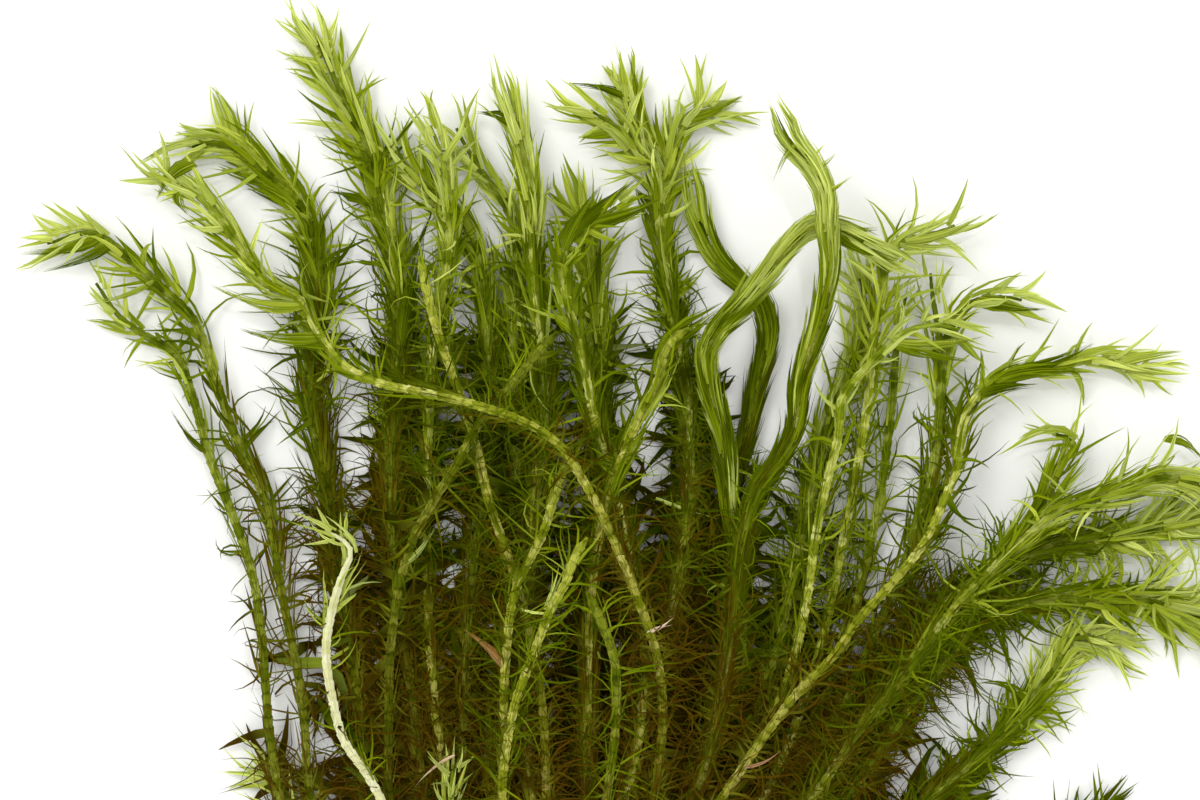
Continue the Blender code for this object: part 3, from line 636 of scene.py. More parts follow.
# There are fewer leaves at the bunch's sides and near the cut ends than inside it, and
# they stand unevenly. On a bare stretch of stem a share stays, less on top than beside it.
LOOSE_DENSITY = 0.38
INNER_DENSITY = 0.82
THICKET_MIDDLE = -12.0
THICKET_LEAN = -0.15
THICKET_REACH = 48.0
THICKET_SPREAD = 0.45
THICKET_EDGE = 1.4
THICKET_TOP = 66.0
THICKET_FADE = 42.0
BELOW_FADE = (-60.0, -38.0)
BELOW_DENSITY = 0.3
CUT_END_BARE = 40.0
CUT_END_DENSITY = 0.15
GAP_LENGTH = 2.6
UNEVENNESS = (0.5, 1.5)
PLACE_SPREAD = 0.4
FALL_SIDEWAYS = 0.6
BARE_TOP = 0.34
BARE_SIDES = 0.75
UPPER_TURN = -0.25


def inside(places):
    """How far inside the bunch places are: 1 in its middle, falling evenly to 0 at its edge."""
    reach = THICKET_REACH - THICKET_SPREAD * places[:, 1]
    middle = THICKET_MIDDLE + THICKET_LEAN * places[:, 1]
    across = np.clip(THICKET_EDGE - np.abs(places[:, 0] - middle) / reach, 0.0, 1.0)
    return across * np.clip((THICKET_TOP - places[:, 1]) / THICKET_FADE, 0.0, 1.0)


def stand_leaves(shoot, densities, draws):
    """Where the leaves stand: places from the tip, and turns round the stem.

    The places are those at which the running sum of the density is whole. The turns
    gather at the stem's sides by a sine. On a bare stretch few leaves stay.
    """
    keep = shoot["marks"] >= APEX
    marks = shoot["marks"][keep]
    middle = shoot["middle"][keep]
    density = np.interp(marks / max(shoot["leafy"], YOUNG_LENGTH), HABIT_SHARES, densities)
    density *= shoot["density"] * (LOOSE_DENSITY + INNER_DENSITY * inside(middle))
    density *= np.interp(middle[:, 1], BELOW_FADE, (BELOW_DENSITY, 1.0))
    knots = np.arange(marks[0], marks[-1] + GAP_LENGTH, GAP_LENGTH)
    density *= np.interp(marks, knots, draws.uniform(*UNEVENNESS, len(knots)))
    fewest = CUT_END_DENSITY if marks[-1] > CUT_END_BARE else 1.0
    running = np.cumsum(density * np.clip((marks[-1] - marks) / CUT_END_BARE, fewest, 1.0)) * LAY_STEP
    whole = np.arange(1.0, running[-1])
    places = np.interp(whole + draws.uniform(-PLACE_SPREAD, PLACE_SPREAD, len(whole)), running, marks)
    turn = draws.uniform(0.0, 2.0 * math.pi, len(places))
    turn += FALL_SIDEWAYS * np.sin(2.0 * turn)
    kept = np.where(np.cos(turn) > UPPER_TURN, BARE_TOP, BARE_SIDES)
    start, end = shoot["bare"]
    stay = (places <= start) | (places >= end) | (draws.random(len(places)) < kept)
    return places[stay], turn[stay]


# How many leaves cling and how many lie in any direction, as the water left them, at
# shares of the leafy length. Matted ones hang under low stems to the table, wide and
# painted dark, as painted shade deep in the bunch.
CLINGING = ((0.0, 0.1, 0.7, 1.1), (0.6, 1.0, 1.0, 0.3))
STRAYING = ((0.15, 0.4, 0.8, 1.2), (0.0, 0.3, 0.5, 0.65))
STRAY_LENGTH = (7.0, 12.5)
STRAY_RISE = (0.1, 0.3)
STRAY_TWIST = (0.0, 0.5)
FOOT_DEPTH = 0.75
MATTED = 0.3
MATTED_FROM = 0.45
MATTED_RISE = 3.0
MATTED_BELOW = 9.0
MATTED_LEVEL = 0.8
MATTED_EASE = 0.7
MATTED_WIDTH = (1.3, 2.3)
# The matted leaves' tints lie below zero and darken them far: painted shade.
MATTED_PAINTED_SHADE = (-1.0, -0.4)


def choose_ways(shoot, places, turn, share, clinging, draws):
    """Feet and directions of leaves, and which of them cling, are matted or stray.

    Some cling to the stem, some hang matted under it and some lie in any direction. The
    others point outward from the stem, at their turn round it.
    """
    count = len(places)
    middle, tipward, sideways, upwards = frames_along(shoot, places)
    outward = np.cos(turn)[:, None] * upwards + np.sin(turn)[:, None] * sideways
    clings = draws.random(count) < clinging * np.interp(share, *CLINGING)
    low = (share > OLD_FROM) & (middle[:, 2] < MATTED_BELOW)
    inmost = np.clip(MATTED_RISE * (inside(middle) - MATTED_FROM), 0.0, 1.0)
    # Matted leaves, only low in the middle of the bunch, are painted dark as shade there.
    matted_shade = ~clings & low & (draws.random(count) < MATTED * inmost)
    outward = np.where(matted_shade[:, None], -upwards, outward)
    feet = middle + outward * STEM_RADIUS * FOOT_DEPTH
    stray = matted_shade | (~clings & (draws.random(count) < np.interp(share, *STRAYING)))
    stray &= places < shoot["marks"][-1] - STRAY_LENGTH[1]
    heading = draws.uniform(0.0, 2.0 * math.pi, count)
    anywhere = np.column_stack([np.cos(heading), np.sin(heading), draws.normal(*STRAY_RISE, count)])
    around = np.column_stack([-np.sin(heading), np.cos(heading), draws.normal(*STRAY_TWIST, count)])
    tipward = np.where(stray[:, None], anywhere, tipward)
    outward = np.where(stray[:, None], around, outward)
    return stray, dict(feet=feet, tipward=tipward, outward=outward, clings=clings, matted_shade=matted_shade)


# Wet leaves stick together in clumps, strongly or hardly, which loosen down the shoot.
CLUMP_LENGTH = 3.2
CLUMP_SIDES = 5
CLUMP_LEAN = 12.0
STICKY_PULL = (0.6, 0.95)
LOOSE_PULL = (0.0, 0.2)
PULLING = ((0.0, 0.5, 1.2), (0.9, 0.85, 0.3))
PULL_EASE = 0.9


def clump_leaves(places, turn, sticking, draws):
    """The clump that each leaf belongs to, how strongly it is pulled together, and its lean.

    Leaves of one side and stretch of the stem lean alike, and may stick together by
    their points.
    """
    side = np.floor((turn % (2.0 * math.pi)) / (2.0 * math.pi) * CLUMP_SIDES)
    stretch = np.floor(places / CLUMP_LENGTH)
    _, clump = np.unique(stretch * CLUMP_SIDES + side, return_inverse=True)
    clumps = clump.max() + 1
    sticky = draws.random(clumps) < sticking
    strength = np.where(sticky, draws.uniform(*STICKY_PULL, clumps), draws.uniform(*LOOSE_PULL, clumps))
    return clump, strength[clump], draws.normal(0.0, CLUMP_LEAN, clumps)[clump]


# How ages and tints spread about the usual. Young leaves are more alike than old ones.
AGE_SPREAD = 0.06
CLUMP_AGE_SPREAD = 0.12
AGE_WILDNESS = ((0.0, 0.5), (0.45, 1.0))
YOUNG_TINT = (0.25, 0.55)
COVERED_AGE = 0.3


def colour_leaves(shoot, places, share, clump, clings, matted_shade, draws):
    """Age and tint of leaves: they age evenly down the shoot, with noise by leaf and clump. Matted leaves
    get tints below zero, which paint them dark as shade.
    """
    count = len(places)
    age = TISSUE_AGE[shoot["tissue"]] + shoot["age"] + shoot["browning"] * (places - APEX) / FADE_LENGTH
    noise = draws.normal(0.0, AGE_SPREAD, count)
    noise += draws.normal(0.0, CLUMP_AGE_SPREAD, clump.max() + 1)[clump]
    noise *= np.interp(share, *AGE_WILDNESS)
    noise += COVERED_AGE if shoot["covered"] else 0.0
    tint = np.where(matted_shade, draws.uniform(*MATTED_PAINTED_SHADE, count), draws.uniform(0.0, 1.0, count))
    tint = np.where((share < OLD_FROM) | clings, YOUNG_TINT[0] + YOUNG_TINT[1] * tint, tint)
    return np.clip(np.clip(age, 0.0, 1.0) + noise, 0.0, 1.0), tint


# How uneven the leans are in degrees and how far leaves wind, at shares of the leafy
# length, and how leaves differ in length, width, droop and roll.
TOP_LEAN = 0.5
FOOT_WILDNESS = ((0.0, 1.0), (8.0, 28.0))
POINT_WILDNESS = ((0.0, 0.5, 1.0), (18.0, 44.0, 58.0))
WINDING = ((0.0, 0.3, 1.0, 2.0), (0.3, 0.8, 1.5, 1.9))
DROOP_RANGE = (0.0, 0.6)
LENGTH_RANGE = (0.55, 1.25)
WIDTH_LEAST = 0.75
WIDTH_RANGE = 1.1
ROLL_SPREAD = 0.32


def grow_leaves(shoot, draws):
    """The leaves of one shoot as arrays with a row for each leaf.

    They are each leaf's place as a share of the leafy length, the ways it goes, width,
    roll, age and tint. The lean is less for leaves on top of the stem, by the sine of
    their turn round it, and wilder further down.
    """
    densities, lengths, widths, starts, ends, clinging, cling_lean, sticking = HABIT_LEAVES[shoot["leaves"]]
    places, turn = stand_leaves(shoot, densities, draws)
    count = len(places)
    share = places / max(shoot["leafy"], YOUNG_LENGTH) + (COVERED_SHARE if shoot["covered"] else 0.0)
    stray, ways = choose_ways(shoot, places, turn, share, clinging, draws)
    matted_shade = ways["matted_shade"]
    clump, strength, clump_lean = clump_leaves(places, turn, sticking, draws)
    pull = np.where(ways["clings"] | matted_shade, 0.0, strength * np.interp(share, *PULLING))
    flat = TOP_LEAN + (1.0 - TOP_LEAN) * np.abs(np.sin(turn))
    foot_noise = draws.normal(0.0, 1.0, count) * np.interp(share, *FOOT_WILDNESS) + clump_lean
    point_noise = draws.normal(0.0, 1.0, count) * np.interp(share, *POINT_WILDNESS) + clump_lean
    start = np.radians(np.interp(share, HABIT_SHARES, starts) * flat + foot_noise)
    end = np.radians(np.interp(share, HABIT_SHARES, ends) * flat + point_noise)
    lean = np.radians(np.abs(draws.normal(cling_lean, 0.5 * cling_lean, count)))
    wind = draws.normal(0.0, 1.0, count) * np.interp(share, *WINDING)
    droop = draws.uniform(*DROOP_RANGE, count)
    length = np.interp(share, HABIT_SHARES, lengths) * shoot["length"]
    length *= draws.uniform(*LENGTH_RANGE, count)
    width = np.interp(share, HABIT_SHARES, widths)
    width *= WIDTH_LEAST + WIDTH_RANGE * draws.random(count) ** 2
    width = np.where(matted_shade, draws.uniform(*MATTED_WIDTH, count), width)
    length = np.where(stray, draws.uniform(*STRAY_LENGTH, count), length)
    age, tint = colour_leaves(shoot, places, share, clump, ways["clings"], matted_shade, draws)
    ways.update(
        places=places, turn=turn, clump=clump, pull=pull, start=start, end=end, lean=lean,
        wind=wind, droop=droop, length=length,
    )
    return share, ways, width, draws.normal(0.0, ROLL_SPREAD, count), age, tint


# Leaves lie between the table and the top of the pile. A clinging leaf starts on the
# stem's skin and closes on the shoot's middle beyond the tip.
CLINGING_RADIUS = 0.92
CLOSING = 0.3
LOWEST_LEAF = 0.2
SOFT_TABLE = 0.6
HIGHEST_LEAF = 21.2


def leaf_midlines(feet, tipward, outward, stations, length, lean_start, lean_end, wind, droop):
    """The middle line of each leaf: leaf, station, place.

    Its direction turns evenly from one lean to the other, away from the stem, winds
    sideways round the stem and droops as it goes. The line is the running sum of it.
    """
    share = stations[None, :]
    lean = lean_start[:, None] + (lean_end - lean_start)[:, None] * share
    turn = wind[:, None] * share
    beside = np.cross(tipward, outward)
    away = np.cos(turn)[:, :, None] * outward[:, None, :] + np.sin(turn)[:, :, None] * beside[:, None, :]
    direction = np.cos(lean)[:, :, None] * tipward[:, None, :] + np.sin(lean)[:, :, None] * away
    direction[:, :, 2] -= droop[:, None] * share
    direction /= np.linalg.norm(direction, axis=2)[:, :, None]
    steps = np.diff(stations)[None, :, None] * length[:, None, None]
    moves = (direction[:, 1:] + direction[:, :-1]) / 2.0 * steps
    run = np.concatenate([np.zeros_like(moves[:, :1]), np.cumsum(moves, axis=1)], axis=1)
    return feet[:, None, :] + run


def clinging_lines(shoot, places, turn, length, lean, stations):
    """The middle line of each leaf that lies along its stem: leaf, station, place.

    It follows the stem's own curve towards the tip, leaving its skin by the sine of the
    lean. Beyond the tip it runs straight on and closes on the shoot's middle line.
    """
    along = places[:, None] - length[:, None] * stations[None, :]
    frames = frames_along(shoot, np.maximum(along, 0.0).ravel())
    middle, tipward, sideways, upwards = (part.reshape(along.shape + (3,)) for part in frames)
    beyond = np.maximum(-along, 0.0)
    opened = CLINGING_RADIUS + np.sin(lean)[:, None] * length[:, None] * stations[None, :]
    radius = opened / (1.0 + CLOSING * beyond)
    outward = np.cos(turn)[:, None, None] * upwards + np.sin(turn)[:, None, None] * sideways
    return middle + beyond[:, :, None] * tipward + radius[:, :, None] * outward


def gather_points(lines, stations, clump, pull):
    """Draws each leaf towards the mean point of its clump, more the nearer its own point."""
    points = lines[:, -1]
    size = np.bincount(clump)[clump]
    means = np.column_stack([np.bincount(clump, points[:, axis])[clump] / size for axis in range(3)])
    ease = pull[:, None] * stations[None, :] ** PULL_EASE
    return lines + ease[:, :, None] * (means - points)[:, None, :]


def keep_on_table(lines):
    """Eases heights that would pass through the table to just above it, by an exponential.

    No height is above the pile's own.
    """
    low = lines[:, :, 2] - LOWEST_LEAF
    eased = SOFT_TABLE * np.exp(np.minimum(low, SOFT_TABLE) / SOFT_TABLE - 1.0)
    lines[:, :, 2] = LOWEST_LEAF + np.where(low < SOFT_TABLE, eased, low)
    lines[:, :, 2] = np.minimum(lines[:, :, 2], HIGHEST_LEAF)
    return lines


# A blade's stations along it, and its section as places across it and above it. Old
# leaves are threads, with no face below.
YOUNG_STATIONS = (0.0, 0.22, 0.48, 0.74, 0.94)
YOUNG_SECTION = ((1.0, 0.0), (0.0, 1.0), (-1.0, 0.0), (0.0, -1.0))
OLD_STATIONS = (0.0, 0.25, 0.5, 0.74, 0.93)
OLD_SECTION = ((1.0, 0.0), (0.0, 1.0), (-1.0, 0.0))
FOOT_WIDTH = 0.75
FOOT_LENGTH = 0.15
FOOT_ROLL = 0.3
POINTEDNESS = 1.4
POINT_REACH = 0.25
LIE_FLAT = 0.8
BLADE_FOLD = 0.32
BLADE_THICKNESS = 0.06
BLADE_THINNING = 0.7
LEAF_SHARP = 55.0
VEIN_PITCH = 0.28


def blade_grid(lines, stations, beside, width, roll, section):
    """Folded blades along middle lines: leaf, station, corner of the section, place.

    The section is a list of places across the blade and above it. Its half width grows
    quickly from the foot and narrows to the point.
    """
    along = np.gradient(lines, axis=1)
    along /= np.linalg.norm(along, axis=2)[:, :, None] + 1e-9
    side = beside[:, None, :] - np.sum(beside[:, None, :] * along, axis=2)[:, :, None] * along
    side /= np.linalg.norm(side, axis=2)[:, :, None] + 1e-9
    face = np.cross(along, side)
    angle = roll[:, None] * (FOOT_ROLL + stations[None, :])
    turned = np.cos(angle)[:, :, None] * side + np.sin(angle)[:, :, None] * face
    face = np.cross(along, turned)
    swell = FOOT_WIDTH + (1.0 - FOOT_WIDTH) * np.minimum(stations / FOOT_LENGTH, 1.0)
    half = (width[:, None] * (swell * (1.0 - stations ** POINTEDNESS))[None, :] / 2.0)[:, :, None]
    thick = BLADE_THICKNESS * (1.0 - BLADE_THINNING * stations)[None, :, None]
    rows = [
        lines + across * half * turned + (BLADE_FOLD * abs(across) * half + above * thick) * face
        for across, above in section
    ]
    return np.stack(rows, axis=2)


def blade_piece(name, lines, stations, beside, section, width, roll, reach, material, values):
    """A piece of blades along middle lines, which end in points by a reach past their last step."""
    grid = blade_grid(lines, stations, beside, width, roll, section)
    point = lines[:, -1] + (lines[:, -1] - lines[:, -2]) * reach
    values["across"] = np.array([across for across, _ in section])[None, None, :]
    values["veins"] = width[:, None, None] / VEIN_PITCH
    piece = strand_piece(name, grid, point, values, material, LEAF_SHARP)
    return piece


def leaf_lines(
    shoot, stations, places, turn, feet, tipward, outward, clings, matted_shade, clump, pull,
    start, end, lean, wind, droop, length,
):
    """The middle lines of leaves as they lie, and the direction across each blade.

    Blades lie flat: the direction is nearly level, square to the line from foot to point.
    """
    lines = leaf_midlines(feet, tipward, outward, stations, length, start, end, wind, droop)
    close = clinging_lines(shoot, places, turn, length, lean, stations)
    lines = np.where(clings[:, None, None], close, lines)
    lines = gather_points(lines, stations, clump, pull)
    sunk = (MATTED_LEVEL - lines[:, :, 2]) * stations[None, :] ** MATTED_EASE
    lines[:, :, 2] += np.where(matted_shade[:, None], sunk, 0.0)
    lines = keep_on_table(lines)
    level = np.cross(lines[:, -1] - lines[:, 0], (0.0, 0.0, 1.0))
    level /= np.linalg.norm(level, axis=1)[:, None] + 1e-9
    tangent = np.cross(tipward, outward)
    level *= np.where(np.sum(level * tangent, axis=1) < 0.0, -1.0, 1.0)[:, None]
    return lines, LIE_FLAT * level + (1.0 - LIE_FLAT) * tangent


def leaf_tissue():
    """Thin wet leaf: a bright, partly see-through green that darkens and browns with age.

    The veins run along it, by their number across the blade.
    """
    material, tree = new_material("leaf_tissue")
    age, tint, along, across, veins = [
        add_node(tree, "Attribute", give="Fac", attribute_name=label)
        for label in ("age", "tint", "along", "across", "veins")
    ]
    ramp = add_node(tree, "ValToRGB", {"Fac": age}, (
        (0.0, "#E4EE8C"), (0.1, "#CCDA58"), (0.22, "#9EB214"), (0.4, "#667E02"), (0.6, "#5E6A02"),
        (0.82, "#6C5C06"), (1.0, "#624C0A"),
    ))
    # Tints below zero, those of the matted leaves, darken the colour far: painted shade.
    value = add_node(tree, "MapRange", {"Value": tint, "To Min": 0.8, "To Max": 1.28}, clamp=False)
    hue = add_node(tree, "MapRange", {"Value": tint, "To Min": 0.508, "To Max": 0.488})
    shade = add_node(tree, "HueSaturation", {"Color": ramp, "Value": value, "Hue": hue})
    strand = add_node(tree, "Math", {0: across, 1: veins}, operation="MULTIPLY")
    place = add_node(tree, "CombineXYZ", {"X": strand, "Y": along, "Z": tint})
    line = fine_streaks(tree, place, (1.0, 0.8, 90.0), ((0.38, "#9CA450"), (0.6, "#FFFFFF")), 2.0)
    foot = add_node(tree, "MapRange", {"Value": along, "From Max": 0.35, "To Min": 0.4, "To Max": 0.0})
    withered = add_node(tree, "Math", {0: along, 1: age}, operation="MULTIPLY")
    browned = add_node(
        tree, "MapRange", {"Value": withered, "From Min": 0.35, "From Max": 0.8, "To Max": 0.4},
    )
    colour = lay_over(tree, shade, (
        (0.7, line, "MULTIPLY"), (foot, "#B4C032", "MIX"), (browned, "#7A520C", "MIX"),
    ))
    gloss = add_node(tree, "MapRange", {"Value": tint, "From Min": 0.6, "To Min": 0.45, "To Max": 0.14})
    skin = add_node(tree, "BsdfPrincipled", {
        "Base Color": colour, "Roughness": gloss, "IOR": 1.38, "Specular IOR Level": 0.12,
        "Specular Tint": "#DCE450",
    })
    through = add_node(tree, "BsdfTranslucent", {"Color": colour})
    both = add_node(tree, "MixShader", {0: 0.5, 1: skin, 2: through})
    add_node(tree, "OutputMaterial", {"Surface": both})
    return material


leaf_skin = leaf_tissue()
for seed, (name, shoot) in enumerate(shoots.items()):
    share, ways, width, roll, age, tint = grow_leaves(shoot, np.random.default_rng(seed))
    young = share < OLD_FROM
    layers = ((young, YOUNG_STATIONS, YOUNG_SECTION), (~young, OLD_STATIONS, OLD_SECTION))
    layers = [layer for layer in layers if layer[0].any()]
    for prefix, (pick, stations, section) in zip(("leaves_", "lower_leaves_"), layers):
        stations = np.array(stations)
        picked = {label: values[pick] for label, values in ways.items()}
        lines, beside = leaf_lines(shoot, stations, **picked)
        values = {
            "age": age[pick][:, None, None], "tint": tint[pick][:, None, None],
            "along": stations[None, :, None],
        }
        leaves = blade_piece(
            prefix + name, lines, stations, beside, section, width[pick], roll[pick],
            POINT_REACH, leaf_skin, values,
        )
        if prefix == "leaves_":
            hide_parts(name)


# Where several leaves dried together they stand off the shoots as pointed wet locks.
LOCK_STATIONS = (0.0, 0.14, 0.3, 0.48, 0.66, 0.83, 0.95)
LOCK_RISE = 0.6
LOCK_FALL = 0.8
LOCK_LOWEST = 0.8
LOCK_CROWN = 0.6
LOCK_RAGGED = 0.2
LOCK_REACH = 4.0
LOCK_OVERLAP = 2.8
LOCK_POINT = 0.3
LOCK_SEED = 1000
STRAND_SPREAD = 0.12
STRAND_WIDTHS = (0.7, 1.3)
STRAND_ROLL = 0.35
STRAND_AGE = 0.05
# For each shoot in turn, each lock's root and point from the photo's middle, its bow to
# the side, half width, number of strands and age.
WET_LOCKS = (
    ("shoot_left_upper", (
        ((-80.0, 26.2), (-94.2, 23.6), -0.9, 1.15, 12, 0.3),
        ((-80.0, 22.6), (-90.4, 20.5), -0.5, 1.0, 10, 0.34),
        ((-76.5, 11.2), (-83.2, 13.0), 0.5, 0.75, 8, 0.12),
        ((-72.0, 18.5), (-84.5, 15.0), -0.8, 0.5, 6, 0.1),
    )),
    ("shoot_left_lower", (
        ((-64.0, -9.0), (-69.3, -1.2), -0.7, 0.6, 7, 0.5),
    )),
    ("shoot_long_arching", (
        ((-65.0, 38.0), (-71.2, 32.0), 1.2, 1.5, 14, 0.26),
        ((-66.0, 36.5), (-65.9, 29.6), 1.0, 1.2, 10, 0.2),
        ((-50.0, 13.5), (-62.8, 18.7), -1.4, 1.3, 12, 0.12),
        ((-45.5, 9.5), (-58.0, 11.6), -0.9, 1.5, 14, 0.24),
        ((-44.0, 7.8), (-51.5, 8.0), 0.5, 0.9, 8, 0.34),
    )),
    ("shoot_top_left_dark", (
        ((-47.5, 29.5), (-55.2, 30.6), 0.4, 0.7, 6, 0.1),
        ((-47.0, 25.5), (-54.8, 28.6), -0.4, 0.7, 6, 0.12),
    )),
    ("shoot_centre_tall", (
        ((3.0, 44.0), (2.0, 59.0), 0.3, 0.6, 4, 0.0),
        ((6.5, 44.5), (4.4, 56.8), 0.4, 0.8, 7, 0.3),
        ((1.0, 47.5), (-6.0, 51.0), 0.8, 0.8, 7, 0.38),
    )),
    ("branch_centre_right", (
        ((13.0, 46.0), (23.4, 49.4), 0.5, 0.9, 8, 0.2),
    )),
    ("shoot_top_brush", (
        ((-15.0, 44.0), (-20.2, 46.2), 0.6, 1.1, 8, 0.4),
    )),
    ("shoot_centre_kinked", (
        ((-5.5, 24.0), (0.5, 34.5), -0.5, 1.3, 13, 0.34),
        ((-4.5, 26.0), (6.5, 35.6), -0.6, 1.5, 15, 0.4),
        ((-2.0, 28.0), (10.5, 32.6), 0.6, 1.3, 12, 0.32),
    )),
    ("shoot_wet_rope_upright", (
        ((33.0, 38.0), (36.3, 41.4), 0.2, 0.28, 2, 0.12),
        ((34.2, 36.4), (38.3, 40.0), 0.3, 0.28, 2, 0.16),
        ((35.6, 32.6), (40.2, 35.8), 0.3, 0.35, 3, 0.14),
        ((31.0, 40.4), (27.4, 34.4), 0.4, 0.35, 3, 0.2),
    )),
    ("shoot_right_rosette", (
        ((48.5, 25.6), (62.2, 30.2), 0.9, 1.1, 11, 0.12),
        ((48.0, 25.8), (58.1, 24.7), 0.4, 0.55, 6, 0.04),
        ((47.5, 25.0), (59.2, 22.8), 0.4, 0.6, 6, 0.06),
    )),
    ("shoot_wet_rope", (
        ((36.5, 27.4), (47.8, 22.0), 1.1, 1.25, 14, 0.3),
        ((37.0, 28.2), (44.6, 27.4), 0.5, 0.9, 10, 0.22),
    )),
    ("shoot_right_hooked", (
        ((61.0, 15.4), (72.0, 14.6), 0.5, 1.25, 12, 0.28),
    )),
    ("shoot_right_long", (
        ((83.0, 5.4), (94.4, 7.8), -0.5, 0.95, 10, 0.08),
        ((82.0, 4.8), (93.2, 4.2), 0.4, 0.9, 8, 0.05),
        ((65.0, 7.4), (79.5, 9.3), 0.9, 1.3, 13, 0.4),
        ((63.5, 2.6), (79.2, 4.4), -0.9, 1.4, 14, 0.34),
        ((61.5, 0.9), (70.5, 2.4), -0.4, 1.2, 10, 0.42),
    )),
    ("shoot_right_scarred", (
        ((47.0, 9.4), (61.5, 10.2), 0.9, 1.4, 14, 0.14),
        ((48.0, 8.4), (59.5, 6.2), 0.6, 1.1, 10, 0.28),
    )),
    ("shoot_top_left_pale", (
        ((-32.0, 8.8), (-27.6, 30.0), -0.6, 1.4, 14, 0.42),
    )),
    ("shoot_right_low", (
        ((66.0, -33.2), (68.5, -47.0), 1.9, 0.6, 3, 0.46),
        ((62.0, -35.5), (66.0, -47.5), -1.8, 0.6, 3, 0.5),
        ((59.0, -37.6), (65.5, -51.0), 2.4, 0.6, 3, 0.44),
        ((55.5, -40.6), (61.0, -53.0), -2.2, 0.6, 3, 0.52),
        ((52.0, -44.0), (60.0, -55.5), 1.8, 0.6, 3, 0.48),
    )),
    ("shoot_right_low_hooked", (
        ((69.0, -49.0), (58.0, -45.0), 1.6, 0.6, 3, 0.46),
        ((64.0, -54.5), (53.5, -51.0), -2.0, 0.6, 3, 0.5),
    )),
    ("shoot_right_long", (
        ((57.0, -10.0), (64.0, -11.2), -0.8, 0.26, 1, 0.3),
        ((56.0, -14.5), (66.0, -22.5), 2.2, 0.26, 1, 0.34),
        ((55.5, -16.0), (63.0, -19.8), 1.6, 0.24, 1, 0.4),
        ((53.5, -20.0), (62.5, -25.0), -1.4, 0.26, 1, 0.36),
        ((57.5, -6.5), (48.5, -9.5), 1.6, 0.24, 1, 0.38),
        ((56.0, -13.0), (45.5, -12.0), -1.8, 0.24, 1, 0.44),
    )),
    ("shoot_right_curled", (
        ((90.5, -6.2), (97.5, -10.4), -1.2, 0.9, 7, 0.22),
    )),
    ("shoot_centre_tall", (
        ((9.0, -15.8), (20.8, -19.6), 0.2, 0.3, 3, 0.02),
    )),
    ("shoot_front_left", (
        ((-31.2, -26.4), (-25.9, -19.7), 0.5, 0.5, 4, 0.0),
    )),
)


def lock_lines(shoot, root, tip, bow, half_width, strands):
    """Middle lines of a lock's strands: a parabola from root to point, spread sideways.

    The root is the nearest place on the stem if one is near. The spread opens quickly
    and narrows evenly to the point. The middle strands lie highest, as the crown of a
    flat bundle.
    """
    gaps = np.linalg.norm(shoot["middle"][:, :2] - (root - BUNCH_MIDDLE), axis=1)
    near = gaps.argmin()
    height = shoot["middle"][near, 2] + LOCK_RISE
    flat_root = shoot["middle"][near, :2] if gaps[near] < LOCK_REACH else root - BUNCH_MIDDLE
    start = np.append(flat_root, height)
    along = np.append(tip - BUNCH_MIDDLE, max(height - LOCK_FALL, LOCK_LOWEST)) - start
    side = np.cross(along, (0.0, 0.0, 1.0))
    side /= np.linalg.norm(side)
    run = np.array(LOCK_STATIONS)[None, :, None]
    spot = np.linspace(-1.0, 1.0, strands)[:, None, None]
    swell = np.minimum(0.4 + 2.6 * run, 1.0) * (1.0 - run) ** 0.8
    reach = 1.0 - LOCK_RAGGED * spot ** 2
    line = start + along * run * reach + bow * 4.0 * run * (1.0 - run) * side
    crown = LOCK_CROWN * half_width * (1.0 - spot ** 2) * swell * np.array((0.0, 0.0, 1.0))
    return line + half_width * spot * swell * side + crown, side


def lay_lock(name, shoot, root, tip, bow, half_width, strands, age, material, seed):
    """One lock of strands, each a narrow blade on its own middle line."""
    draws = np.random.default_rng(seed)
    stations = np.array(LOCK_STATIONS)
    lines, side = lock_lines(shoots[shoot], np.array(root), np.array(tip), bow, half_width, strands)
    lines += draws.normal(0.0, STRAND_SPREAD, (strands, 1, 3)) * stations[None, :, None]
    lines = keep_on_table(lines)
    width = np.full(strands, LOCK_OVERLAP * half_width / strands) * draws.uniform(*STRAND_WIDTHS, strands)
    roll = draws.normal(0.0, STRAND_ROLL, strands)
    values = {
        "age": np.clip(age + draws.normal(0.0, STRAND_AGE, strands), 0.0, 1.0)[:, None, None],
        "tint": draws.uniform(0.0, 1.0, strands)[:, None, None],
        "along": 0.15 + 0.8 * stations[None, :, None],
    }
    blade_piece(
        name, lines, stations, np.tile(side, (strands, 1)), YOUNG_SECTION,
        width, roll, LOCK_POINT, material, values,
    )


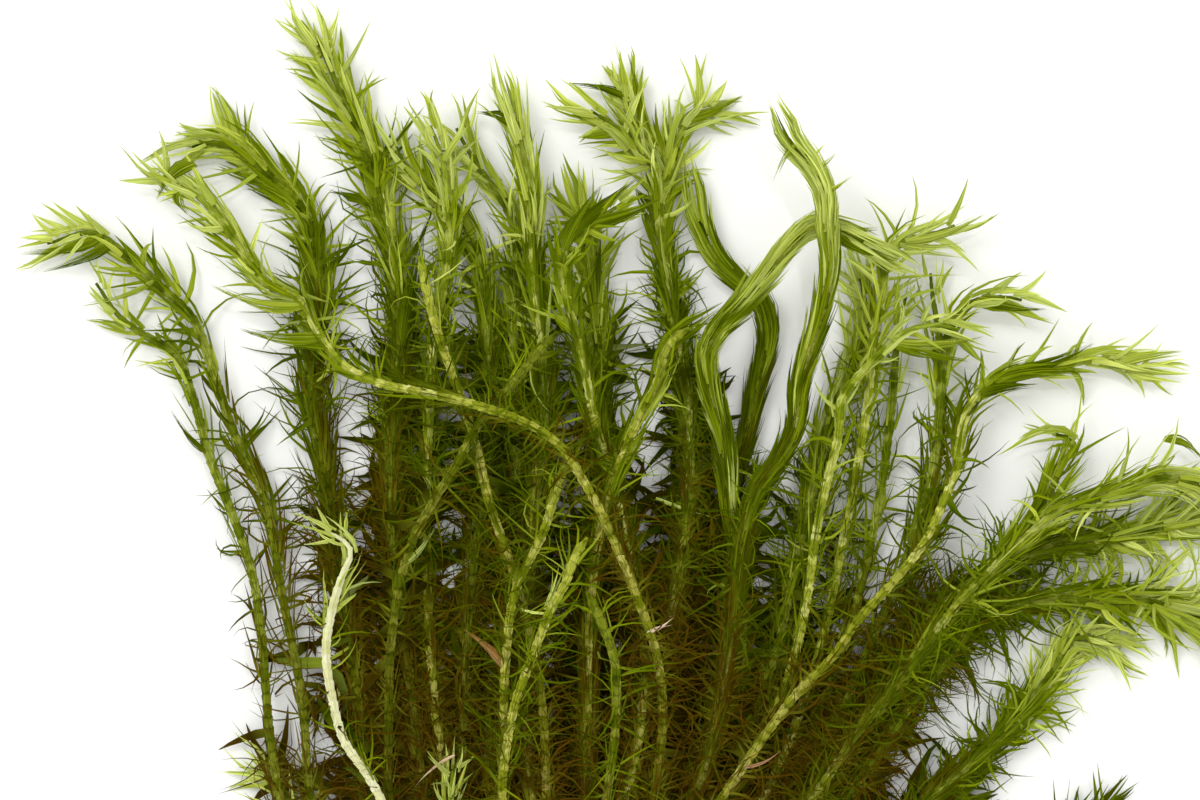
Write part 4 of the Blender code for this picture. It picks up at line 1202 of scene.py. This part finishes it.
locks = [(shoot, lock) for shoot, rows in WET_LOCKS for lock in rows]
for number, (shoot, lock) in enumerate(locks):
    lay_lock("wet_lock_%02d" % number, shoot, *lock, leaf_skin, LOCK_SEED + number)


# A few dead pieces: a papery brown leaf, a broken spur and some bleached threads. Each
# row: name, colour, shoot, root, point, bow, half width and number of strands.
DEAD_AGE = 0.5
DEAD_SEED = 1200
DEAD_PIECES = (
    ("dead_leaf", "#8A6204", "shoot_front_segmented", (-15.0, -42.4), (-22.2, -36.2), 0.5, 0.8, 4),
    ("broken_spur_upper", "#E4CCAC", "shoot_long_arching", (8.6, -36.6), (12.6, -33.9), 0.3, 0.22, 2),
    ("broken_spur_lower", "#E0C4A0", "shoot_long_arching", (8.9, -36.8), (12.2, -35.6), -0.2, 0.25, 2),
    ("bleached_sheath", "#D6D6A8", "shoot_long_arching", (8.8, -36.4), (6.2, -31.4), 0.0, 0.7, 4),
    ("bleached_thread_right", "#B88A60", "shoot_right_long", (20.8, -56.8), (30.6, -55.4), 0.7, 0.2, 2),
    ("bleached_root", "#D8BC94", "shoot_front_rosette", (-22.6, -57.4), (-31.4, -63.4), 0.5, 0.2, 2),
)


def dead_tissue(name, colour):
    """Dead leaf, papery and streaked along its length."""
    material, tree = new_material(name)
    across, tint, along = [
        add_node(tree, "Attribute", give="Fac", attribute_name=label)
        for label in ("across", "tint", "along")
    ]
    place = add_node(tree, "CombineXYZ", {"X": across, "Y": tint, "Z": along})
    streak = fine_streaks(tree, place, (1.5, 20.0, 2.0), ((0.35, "#8A7850"), (0.6, "#FFFFFF")), 3.0)
    streaked = lay_over(tree, colour, ((0.8, streak, "MULTIPLY"),))
    skin = add_node(tree, "BsdfPrincipled", {"Base Color": streaked, "Roughness": 0.45})
    add_node(tree, "OutputMaterial", {"Surface": skin})
    return material


for number, (name, colour, *dead_piece) in enumerate(DEAD_PIECES):
    lay_lock(name, *dead_piece, DEAD_AGE, dead_tissue(name + "_tissue", colour), DEAD_SEED + number)
